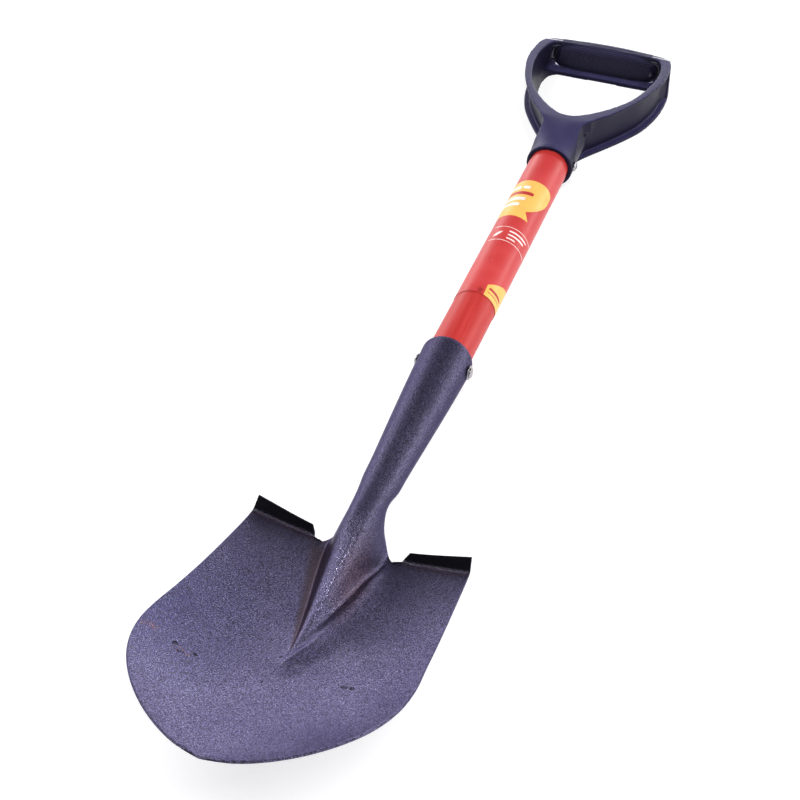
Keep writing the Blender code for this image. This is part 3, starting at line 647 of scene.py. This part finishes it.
# Printed shapes and bars, as distances round from the front line, and y. A bar has y, start and end.
BUBBLE_ROUND = ((-0.022, 0.1125), (-0.0255, 0.123), (-0.0262, 0.134), (-0.025, 0.145),
                (-0.0205, 0.153), (-0.01, 0.1556), (0.004, 0.1561), (0.013, 0.156), (0.0182, 0.154),
                (0.0197, 0.149), (0.019, 0.141), (0.015, 0.1318), (0.0101, 0.1245), (0.0056, 0.1202))
BUBBLE_TAIL = [(0.0082, 0.116), (0.0105, 0.112), (0.0072, 0.1122), (0.0, 0.1125)]
BUBBLE_BARS = ((0.1474, -0.019, -0.0062, "white"), (0.1474, -0.0048, 0.0008, "white"),
               (0.1404, -0.019, 0.0056, "dark_red"), (0.1334, -0.019, 0.0013, "white"),
               (0.1264, -0.019, -0.0012, "white"))
RULE_LOW_U, RULE_HIGH_U = -0.011, 0.024
LEAF = ((-0.0086, 0.0876), (-0.0058, 0.0886), (-0.0036, 0.091), (-0.0024, 0.0937), (-0.005, 0.093),
        (-0.0074, 0.0908))
NOTE_BARS = (0.0949, 0.002, 0.0184), (0.0911, 0.002, 0.0164), (0.0873, 0.002, 0.0091)
PATCH = ((0.0066, 0.0262), (0.0062, 0.0365), (0.0098, 0.0398), (0.0178, 0.0455), (0.027, 0.05),
         (0.0275, 0.0262))
PATCH_LOW_U, PATCH_HIGH_U = 0.0082, 0.0225


def printed(name, outline, material, step=0.0006):
    """A printed shape on the label: an outline of (distance round, y), wrapped round the tube."""
    bm = bmesh.new()
    bm.faces.new([bm.verts.new((u, v, 0.0)) for u, v in outline])
    low = min(u for u, _ in outline)
    high = max(u for u, _ in outline)
    cuts = int((high - low) / step)
    for k in range(1, cuts + 1):
        place = low + (high - low) * k / (cuts + 1)
        whole = bm.verts[:] + bm.edges[:] + bm.faces[:]
        bmesh.ops.bisect_plane(bm, geom=whole, plane_co=(place, 0, 0), plane_no=(1, 0, 0))
    bmesh.ops.triangulate(bm, faces=bm.faces)
    bmesh.ops.recalc_face_normals(bm, faces=bm.faces)
    bm.faces.ensure_lookup_table()
    if bm.faces[0].normal.z < 0:
        bmesh.ops.reverse_faces(bm, faces=bm.faces)
    bmesh.ops.solidify(bm, geom=bm.faces[:], thickness=INK_THICKNESS)
    for vert in bm.verts:
        angle, radius = vert.co.x / INK_RADIUS, INK_RADIUS + vert.co.z
        vert.co = Vector((radius * math.sin(angle), vert.co.y, AXIS_Z + radius * math.cos(angle)))
    return finish_piece(add_mesh(name, bm, smooth=False), material)


def bar_outline(low_u, high_u, v, height):
    """A bar with round ends."""
    half = height / 2
    points = []
    for centre, start in ((high_u - half, -90), (low_u + half, 90)):
        for k in range(9):
            angle = math.radians(start + 180 * k / 8)
            points.append((centre + half * math.cos(angle), v + half * math.sin(angle)))
    return points


def raise_print(piece):
    """Lifts a print that lies on another print by that print's thickness."""
    for vert in piece.data.vertices:
        out = Vector((vert.co.x, 0.0, vert.co.z - AXIS_Z)).normalized()
        vert.co += out * INK_THICKNESS


def torn(angle):
    """How far the film's low edge runs up at an angle round the tube."""
    wave = 0.0004 * math.sin(3 * angle + 0.6)
    return wave + 0.0002 * math.sin(11 * angle) + 0.0001 * math.sin(29 * angle)


def build_label():
    """The film, and the prints on it. Words are stood for by plain bars."""
    film = tube("label_film", LABEL_RADIUS, LABEL_BORE, LABEL_LOW_Y, LABEL_TOP_Y, rows=24, wave=torn)
    finish_piece(film, label_film(), ["shaft_label"])

    yellow = ink("yellow_print", (0.84, 0.49, 0.118, 1), (0.8, 0.44, 0.098, 1))
    white = ink("white_print", (0.82, 0.78, 0.76, 1), (0.72, 0.64, 0.6, 1))
    dark_red = ink("dark_red_print", (0.5, 0.03, 0.035, 1), (0.4, 0.025, 0.03, 1))
    inks = {"white": white, "dark_red": dark_red}
    printed("label_bubble", smooth_path(BUBBLE_ROUND, 60) + BUBBLE_TAIL, yellow)
    for k, (v, low_u, high_u, colour) in enumerate(BUBBLE_BARS, 1):
        raise_print(printed(f"label_bar_{k}", bar_outline(low_u, high_u, v, BAR_HEIGHT), inks[colour]))
    for name, v in (("upper", 0.0988), ("lower", 0.0836)):
        top = v + RULE_HEIGHT
        rule = [(RULE_LOW_U, v), (RULE_HIGH_U, v), (RULE_HIGH_U, top), (RULE_LOW_U, top)]
        printed(f"label_rule_{name}", rule, white)
    printed("label_leaf", LEAF, white)
    for k, (v, low_u, high_u) in enumerate(NOTE_BARS, 1):
        printed(f"label_note_bar_{k}", bar_outline(low_u, high_u, v, NOTE_BAR_HEIGHT), white)
    printed("label_patch", PATCH, yellow)
    for k, (v, height) in enumerate(((0.0342, 0.0022), (0.0305, 0.0006)), 1):
        bar = bar_outline(PATCH_LOW_U, PATCH_HIGH_U, v, height)
        raise_print(printed(f"label_patch_bar_{k}", bar, dark_red))


def build_shaft():
    shaft = tube("fibreglass_tube", SHAFT_RADIUS, SHAFT_BORE, SHAFT_LOW_Y, SHAFT_TOP_Y)
    finish_piece(shaft, red_fibreglass(), ["shaft_tube"])


# ---- fasteners -------------------------------------------

RIVET_Y, SCREW_Y = -0.035, 0.203
# Distances along X from the shaft's axis; the rivet's tail lies the other way.
SEAT, RIVET_HEAD_X, RIVET_TAIL_X = 0.0178, 0.019, 0.0179
SCREW_HEAD_X, SCREW_NECK_X, SCREW_POINT_X, SLOT_X = 0.0182, 0.0082, 0.0065, 0.0203
# Radius and height of each dome.
RIVET_HEAD, RIVET_TAIL, SCREW_HEAD = (0.0036, 0.0014), (0.0042, 0.0022), (0.0037, 0.002)
RIVET_SHANK, SCREW_SHANK = 0.0023, 0.0018
WASHER_BORE, WASHER_RADIUS, WASHER_THICKNESS, WASHER_EDGE = 0.0025, 0.005, 0.0009, 0.0002
SLOT_WIDTH, SLOT_LENGTH, SLOT_DEPTH = 0.001, 0.005, 0.002


def turned(name, profile, place, segments=64):
    """A round piece about an axis along X: a profile of (radius, distance along X) from end to end."""
    bm = bmesh.new()
    rings = []
    for radius, along in profile:
        if radius == 0.0:
            rings.append([bm.verts.new((place[0] + along, place[1], place[2]))])
            continue
        ring = []
        for k in range(segments):
            angle = 2 * math.pi * k / segments
            ring.append(bm.verts.new((place[0] + along, place[1] + radius * math.cos(angle),
                                      place[2] + radius * math.sin(angle))))
        rings.append(ring)
    for a, b in zip(rings, rings[1:]):
        for k in range(segments):
            j = (k + 1) % segments
            corners = [a[k % len(a)], a[j % len(a)], b[j % len(b)], b[k % len(b)]]
            bm.faces.new(list(dict.fromkeys(corners)))
    bmesh.ops.recalc_face_normals(bm, faces=bm.faces)
    made = add_mesh(name, bm)
    made.data.set_sharp_from_angle(angle=math.radians(35))
    return made


def dome(radius, height, base, sign):
    """Half a section of a low dome with a small flat rim, from its crown to its base."""
    points = [(0.0, base + sign * height)]
    for k in range(1, 13):
        angle = 0.5 * math.pi * k / 12
        points.append((radius * math.sin(angle), base + sign * height * (0.15 + 0.85 * math.cos(angle))))
    return points + [(radius, base)]


def build_fasteners():
    """The rivet and its washer through the socket, and the cross-head screw in the grip's collar."""
    steel = bright_steel()
    centre = (0.0, RIVET_Y, AXIS_Z)
    profile = dome(*RIVET_HEAD, RIVET_HEAD_X, 1)
    profile += [(RIVET_SHANK, RIVET_HEAD_X), (RIVET_SHANK, -RIVET_TAIL_X)]
    profile += dome(*RIVET_TAIL, -RIVET_TAIL_X, -1)[::-1]
    finish_piece(turned("steel_rivet", profile, centre), steel, ["socket_rivet"])

    top, rim = SEAT + WASHER_THICKNESS, WASHER_RADIUS - WASHER_EDGE
    washer = [(WASHER_BORE, SEAT), (rim, SEAT), (WASHER_RADIUS, SEAT + WASHER_EDGE),
              (WASHER_RADIUS, top - WASHER_EDGE), (rim, top), (WASHER_BORE, top), (WASHER_BORE, SEAT)]
    finish_piece(turned("steel_washer", washer, centre), steel, ["rivet_washer"])

    screw = dome(*SCREW_HEAD, SCREW_HEAD_X, 1)
    screw += [(SCREW_SHANK, SCREW_HEAD_X), (SCREW_SHANK, SCREW_NECK_X), (0.0, SCREW_POINT_X)]
    head = turned("grip_screw_fine", screw, (0.0, SCREW_Y, AXIS_Z))
    slots = []
    for width, height in ((SLOT_WIDTH, SLOT_LENGTH), (SLOT_LENGTH, SLOT_WIDTH)):
        bm = bmesh.new()
        bmesh.ops.create_cube(bm, size=1.0, matrix=Matrix.Diagonal((SLOT_DEPTH, width, height, 1.0)))
        bmesh.ops.translate(bm, vec=(SLOT_X, SCREW_Y, AXIS_Z), verts=bm.verts)
        slots.append(add_mesh("slot", bm, smooth=False))
    cut(head, *slots)
    head.data.shade_smooth()
    head.data.set_sharp_from_angle(angle=math.radians(35))
    finish_piece(head, steel, ["grip_screw"])


# ---- grip ------------------------------------------------

BACK_Z = -AXIS_Z
GRIP_TOP_Y = 0.3714
FACE_SLOPE, FACE_CORNER_Z, FACE_CORNER_Y = math.radians(5.4), 0.0087, 0.3525
FRONT_OUTSIDE = ((0.0205, 0.2362), (0.024, 0.2412), (0.0285, 0.247), (0.034, 0.2548), (0.0405, 0.2668),
                 (0.0458, 0.279), (0.0508, 0.292), (0.054, 0.304), (0.0565, 0.315), (0.0577, 0.329),
                 (0.057, 0.343))
FRONT_OPENING = ((0.0, 0.2393), (0.005, 0.2401), (0.0102, 0.2428), (0.018, 0.2492), (0.0256, 0.2573),
                 (0.0329, 0.267), (0.0398, 0.2785), (0.0455, 0.2945), (0.0492, 0.311), (0.0509, 0.327))
BACK_OUTSIDE = ((0.011, 0.233), (0.0167, 0.242), (0.0212, 0.2482), (0.0285, 0.258), (0.035, 0.267),
                (0.0418, 0.2772), (0.049, 0.29), (0.0542, 0.305), (0.0568, 0.318), (0.0578, 0.33),
                (0.0578, 0.34))
BACK_OPENING = ((0.0, 0.245), (0.006, 0.2462), (0.012, 0.25), (0.02, 0.258), (0.0275, 0.268),
                (0.0345, 0.28), (0.04, 0.293), (0.044, 0.307), (0.0462, 0.318), (0.0474, 0.33))
FRONT_CORNER, FRONT_CROWN_Y = (0.0562, 0.3568), 0.3582
BACK_CORNER, BACK_CROWN_Y = (0.0568, 0.358), 0.364
FRONT_OPENING_CORNER, FRONT_OPENING_CROWN_Y = (0.05, 0.3555), 0.3568
BACK_OPENING_CORNER, BACK_OPENING_CROWN_Y = (0.047, 0.348), 0.3484
OUTSIDE_CORNER_REACH, OPENING_CORNER_REACH = 0.006, 0.01
COLLAR_RADIUS, WAIST_RADIUS, COLLAR_BORE = 0.018, 0.0172, 0.0154
COLLAR_MOUTH_Y, BORE_END_Y = 0.1962, 0.2343
CORE_RINGS, CORE_PITCH = 20, 0.0021
WAIST_Y, WAIST_FADE = 0.205, 0.014
# The flat front face runs down onto the round collar: half its width along Y.
PLATE_HALF_WIDTH = ((0.199, 0.0178), (0.206, 0.0176), (0.212, 0.017), (0.218, 0.0158),
                    (0.224, 0.0152), (0.23, 0.0162), (0.2372, 0.0212))
PLATE_UNDER_Z = 0.01
PLATE_LOW_Y, PLATE_HIGH_Y, PLATE_STEPS = 0.1985, 0.238, 30
PLATE_RADIUS, PLATE_FLAT_Y, PLATE_FLAT_FADE = 0.0181, 0.201, 0.0345
FLANGE, ARM_DEPTH = 0.0028, 0.036
CHANNEL_LOW_Y, CHANNEL_HIGH_Y, CHANNEL_DEPTH, CHANNEL_POINTS = 0.237, 0.345, 0.005, 90
# The rounded hollow that the crossbar stands in.
RECESS_SIZE, RECESS_CENTRE, RECESS_ROUND = (0.098, 0.029, 0.0235), (0.0, 0.3445, -0.0045), 0.0108
BAR_Y, BAR_Z = 0.36, -0.0043
BAR_REACH, BAR_DROP = 0.0092, 0.0125
BAR_HALF_LENGTH, BAR_LENGTH_USED = 0.0465, 0.985
BAR_SQUARENESS = 2.3
PALM_START_Y, PALM_HALF_LENGTH, PALM_LAST_X = 0.3562, 0.0546, 0.0538
PALM_SQUARENESS = 3.5
# How far the outer side falls away from the grip's top: at the middle, and for each square metre of x * x.
BAR_FALL, BAR_FALL_RATE = 0.002, 2.9
PALM_FALL, PALM_FALL_RATE = 0.0006, 2.7
GRIP_VOXEL = 0.00062


def face_height(y):
    """Height of the grip's sloping front face, from the shaft's axis."""
    return FACE_CORNER_Z + (FACE_CORNER_Y - y) * math.tan(FACE_SLOPE)


def d_outline(points, corner, crown_y, corner_reach):
    """A closed D: up one arm, round the corner, over the crown and down the other arm."""
    half = smooth_path(points, 48)
    (corner_x, corner_y), (start_x, start_y) = corner, points[-1]
    for k in range(1, 13):
        t = k / 12
        x = (1 - t) ** 2 * start_x + 2 * t * (1 - t) * corner_x + t * t * (corner_x - corner_reach)
        y = (1 - t) ** 2 * start_y + 2 * t * (1 - t) * corner_y + t * t * corner_y
        half.append((x, y))
    last_x, last_y = half[-1]
    for k in range(1, 13):
        x = last_x * (1 - k / 12)
        half.append((x, last_y + (crown_y - last_y) * (1 - (x / last_x) ** 2)))
    return half + [(-x, y) for x, y in reversed(half) if x > 0.0]


def loft(name, rings):
    """A closed body through rings of as many points."""
    bm = bmesh.new()
    lines = [[bm.verts.new(point) for point in ring] for ring in rings]
    for a, b in zip(lines, lines[1:]):
        for i in range(len(a)):
            j = (i + 1) % len(a)
            bm.faces.new((a[i], a[j], b[j], b[i]))
    bm.faces.new(lines[0])
    bm.faces.new(lines[-1])
    bmesh.ops.recalc_face_normals(bm, faces=bm.faces)
    return add_mesh(name, bm, smooth=False)


def prism(name, low, high, low_height, high_height):
    """A block between two outlines of as many points, each at a height that depends on y."""
    ends = (low, low_height), (high, high_height)
    return loft(name, [[(x, y, height(y)) for x, y in outline] for outline, height in ends])


def channel(side):
    """The hollow between the front and back flanges along the outside of one arm."""
    front, back = smooth_path(FRONT_OUTSIDE, CHANNEL_POINTS), smooth_path(BACK_OUTSIDE, CHANNEL_POINTS)
    kept = [i for i in range(CHANNEL_POINTS) if CHANNEL_LOW_Y < front[i][1] < CHANNEL_HIGH_Y]
    low_share = FLANGE / ARM_DEPTH
    plans = []
    for share in (low_share, 1.0 - low_share):
        path = [Vector(back[i]).lerp(Vector(front[i]), share) for i in kept]
        near, far = [], []
        for i, point in enumerate(path):
            before, after = path[max(i - 1, 0)], path[min(i + 1, len(path) - 1)]
            run = (after - before).normalized()
            inset = CHANNEL_DEPTH * min(1.0, 0.25 + min(i, len(path) - 1 - i) / 10)
            near.append((side * (point.x - run.y * inset), point.y + run.x * inset))
            far.append((side * (point.x + 0.014), point.y - 0.01))
        plans.append(near + far[::-1])
    return prism("channel", *plans, lambda y: BACK_Z + FLANGE, lambda y: face_height(y) - FLANGE)


def plate_ring(y):
    """The face's section where it runs down onto the collar: round at the mouth, flat at the arms."""
    half = smooth_value(PLATE_HALF_WIDTH, y)
    flat = smoothstep((y - PLATE_FLAT_Y) / PLATE_FLAT_FADE)
    top = []
    for k in range(25):
        x = half * (1 - k / 12)
        curved = math.sqrt(max(PLATE_RADIUS**2 - x * x, 0.0))
        top.append((x, y, curved + (face_height(y) - curved) * flat))
    for x, face in ((-half, top[-1]), (half, top[0])):
        top.append((x, y, min(PLATE_UNDER_Z, face[2] - 0.001)))
    return top


def core_ring(y):
    """The round section of the collar, drawn in a little past its mouth."""
    squeeze = smoothstep((y - WAIST_Y) / WAIST_FADE)
    radius = COLLAR_RADIUS + (WAIST_RADIUS - COLLAR_RADIUS) * squeeze
    return [(radius * math.sin(a), y, radius * math.cos(a)) for a in (math.pi * k / 36 for k in range(72))]


def bar_ring(x):
    """The crossbar: a plump bar, drawn in at both ends, its palm side falling away from the middle."""
    reach = (1.0 - min(abs(x) / BAR_HALF_LENGTH, 1.0) ** 5) ** 0.4
    fall = BAR_FALL + BAR_FALL_RATE * x * x
    ring = []
    for k in range(48):
        angle = 2 * math.pi * k / 48
        across, up = math.cos(angle), math.sin(angle)
        size = 1.0 / (abs(across) ** BAR_SQUARENESS + abs(up) ** BAR_SQUARENESS) ** (1 / BAR_SQUARENESS)
        far = BAR_REACH if across < 0 else GRIP_TOP_Y - BAR_Y - fall
        ring.append((x, BAR_Y + far * across * size * reach, BAR_Z + BAR_DROP * up * size * reach))
    return ring


def palm_ring(x):
    """The grip's outer side behind the crossbar, joining the two corners."""
    fall = PALM_FALL + PALM_FALL_RATE * x * x
    ends = (1.0 - min(abs(x) / PALM_HALF_LENGTH, 1.0) ** PALM_SQUARENESS) ** (1 / PALM_SQUARENESS)
    top_y = PALM_START_Y + (GRIP_TOP_Y - PALM_START_Y - fall) * ends
    turn_y = min(BAR_Y, 0.5 * (PALM_START_Y + top_y))
    z_half = (face_height(BAR_Y) - BACK_Z) / 2
    ring = [(x, PALM_START_Y, BACK_Z), (x, PALM_START_Y, BACK_Z + 2 * z_half)]
    for k in range(13):
        angle = math.radians(90 - 180 * k / 12)
        ring.append((x, turn_y + (top_y - turn_y) * math.cos(angle) ** 0.9,
                     BACK_Z + z_half + z_half * math.sin(angle)))
    return ring


def build_grip():
    """The moulded D: body, collar, crossbar and palm side made apart, then joined and softened."""
    front = d_outline(FRONT_OUTSIDE, FRONT_CORNER, FRONT_CROWN_Y, OUTSIDE_CORNER_REACH)
    back = d_outline(BACK_OUTSIDE, BACK_CORNER, BACK_CROWN_Y, OUTSIDE_CORNER_REACH)
    body = prism("grip_moulding", back, front, lambda y: BACK_Z, face_height)
    low = d_outline(BACK_OPENING, BACK_OPENING_CORNER, BACK_OPENING_CROWN_Y, OPENING_CORNER_REACH)
    high = d_outline(FRONT_OPENING, FRONT_OPENING_CORNER, FRONT_OPENING_CROWN_Y, OPENING_CORNER_REACH)
    opening = prism("opening", low, high, lambda y: BACK_Z - 0.0003, lambda y: face_height(y) + 0.0003)
    cutters = [opening]
    for side in (1.0, -1.0):
        cutters.append(channel(side))
    bm = bmesh.new()
    bmesh.ops.create_cube(bm, size=1.0)
    bmesh.ops.scale(bm, vec=RECESS_SIZE, verts=bm.verts)
    bmesh.ops.translate(bm, vec=RECESS_CENTRE, verts=bm.verts)
    bmesh.ops.bevel(bm, geom=bm.edges[:], offset=RECESS_ROUND, segments=8, affect="EDGES", profile=0.5)
    cutters.append(add_mesh("recess", bm))
    cut(body, *cutters)

    core = loft("core", [core_ring(COLLAR_MOUTH_Y + CORE_PITCH * k) for k in range(CORE_RINGS)])
    plate_length = PLATE_HIGH_Y - PLATE_LOW_Y
    stations = [PLATE_LOW_Y + plate_length * k / PLATE_STEPS for k in range(PLATE_STEPS + 1)]
    plate = loft("plate", [plate_ring(y) for y in stations])
    turns = [math.pi / 2 * (k / 20 - 1) for k in range(41)]
    bar = loft("bar", [bar_ring(BAR_HALF_LENGTH * math.sin(turn * BAR_LENGTH_USED)) for turn in turns])
    palm = loft("palm", [palm_ring(PALM_LAST_X * math.sin(turn)) for turn in turns])
    bm = bmesh.new()
    for piece in (body, core, plate, bar, palm):
        bm.from_mesh(piece.data)
    for piece in (core, plate, bar, palm):
        bpy.data.objects.remove(piece, do_unlink=True)
    for vert in bm.verts:
        vert.co.z += AXIS_Z
    bm.to_mesh(body.data)
    bm.free()

    remesh = body.modifiers.new("remesh", "REMESH")
    remesh.mode = "VOXEL"
    remesh.voxel_size = GRIP_VOXEL
    soften = body.modifiers.new("soften", "SMOOTH")
    soften.factor = 0.5
    soften.iterations = 7
    apply_modifiers(body)
    bore = tube("bore", COLLAR_BORE, 0.0001, COLLAR_MOUTH_Y - 0.004, BORE_END_Y, segments=96)
    cut(body, bore)
    body.data.shade_smooth()
    body.data.set_sharp_from_angle(angle=math.radians(50))
    finish_piece(body, grip_plastic(), ["d_grip"])


build_blade()
build_shaft()
build_label()
build_grip()
build_fasteners()

# The two dowels keep their CAD shapes.
dowel = wood()
for name in ("socket_plug", "grip_plug"):
    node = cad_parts[name]
    node.data.materials.clear()
    node.data.materials.append(dowel)

# ---- studio ----------------------------------------------

FLOOR_REACH, FLOOR_GLOW = 30.0, 0.7
# Sky brightness by height, from 0 (level) to 1 (straight up).
SKY_LEVELS = (0.12, 4.1), (0.26, 2.1), (0.44, 0.4), (0.6, 0.07), (0.8, 0.04)
# The way to the sky's bright side; where its shading starts and ends, and the strength at each.
BRIGHT_SIDE, SIDE_SHADING = (0.15, 0.97, 0.0), (-0.3, 0.9, 0.35, 1.3)
# Name, place, aim, width, height and power.
LIGHTS = (("right_strip", (0.6, -0.25, 1.32), (0, 0, 0), 0.07, 0.9, 15),
          ("left_strip", (-0.8, -0.15, 1.25), (0, 0, 0), 0.07, 0.9, 9),
          ("left_key", (-1.2, 0.5, 0.85), (0, -0.1, 0), 0.7, 0.7, 4))
CAMERA_LENS, SENSOR_WIDTH, CLIP_START = 63.13, 36.0, 0.05
CAMERA_PLACE, CAMERA_TURN = (0.23174, -0.65103, 0.66417), (44.24128, 1.56192, 21.55778)


def area_light(name, place, target, width, height, power):
    data = bpy.data.lights.new(name, "AREA")
    data.shape = "RECTANGLE"
    data.size = width
    data.size_y = height
    data.energy = power
    obj = add_object(name, data)
    obj.location = place
    obj.rotation_euler = (Vector(target) - Vector(place)).to_track_quat("-Z", "Y").to_euler()


def build_floor():
    bm = bmesh.new()
    bmesh.ops.create_grid(bm, x_segments=1, y_segments=1, size=FLOOR_REACH)
    floor = add_mesh("floor", bm)
    m = Material("pale_floor", Emission_Color=(1.0, 1.0, 1.0, 1), Emission_Strength=FLOOR_GLOW)
    paper = m.noise(6.0, 3.0)
    colour = m.mix(paper, (0.46, 0.46, 0.47, 1), (0.48, 0.48, 0.49, 1))
    floor.data.materials.append(m.out(Base_Color=colour, Roughness=m.span(paper, 0.2, 0.8, 0.8, 0.9)))


def build_sky():
    world = bpy.data.worlds.new("studio")
    world.use_nodes = True
    sky = Nodes(world.node_tree)
    way = sky.node("ShaderNodeTexCoord").outputs["Generated"]
    height = sky.node("ShaderNodeSeparateXYZ", {0: way}).outputs["Z"]
    side = sky.node("ShaderNodeVectorMath", {0: way, 1: BRIGHT_SIDE}, operation="DOT_PRODUCT")
    shade = sky.node("ShaderNodeMapRange", enumerate((side.outputs["Value"], *SIDE_SHADING)))
    ramp = sky.node("ShaderNodeValToRGB", {0: height})
    while len(ramp.color_ramp.elements) < len(SKY_LEVELS):
        ramp.color_ramp.elements.new(0.5)
    for stop, (place, level) in zip(ramp.color_ramp.elements, SKY_LEVELS):
        stop.position = place
        stop.color = (level, level, level, 1)
    background = sky.tree.nodes["Background"]
    sky.feed(background.inputs[0], ramp.outputs[0])
    sky.feed(background.inputs[1], shade.outputs[0])
    bpy.context.scene.world = world


def build_camera():
    camera = bpy.data.cameras.new("camera")
    camera.sensor_width = SENSOR_WIDTH
    camera.lens = CAMERA_LENS
    camera.clip_start = CLIP_START
    obj = add_object("camera", camera)
    obj.location = CAMERA_PLACE
    obj.rotation_euler = tuple(math.radians(angle) for angle in CAMERA_TURN)
    bpy.context.scene.camera = obj
    bpy.context.scene.view_settings.view_transform = "Standard"


build_floor()
build_sky()
for light in LIGHTS:
    area_light(*light)
build_camera()
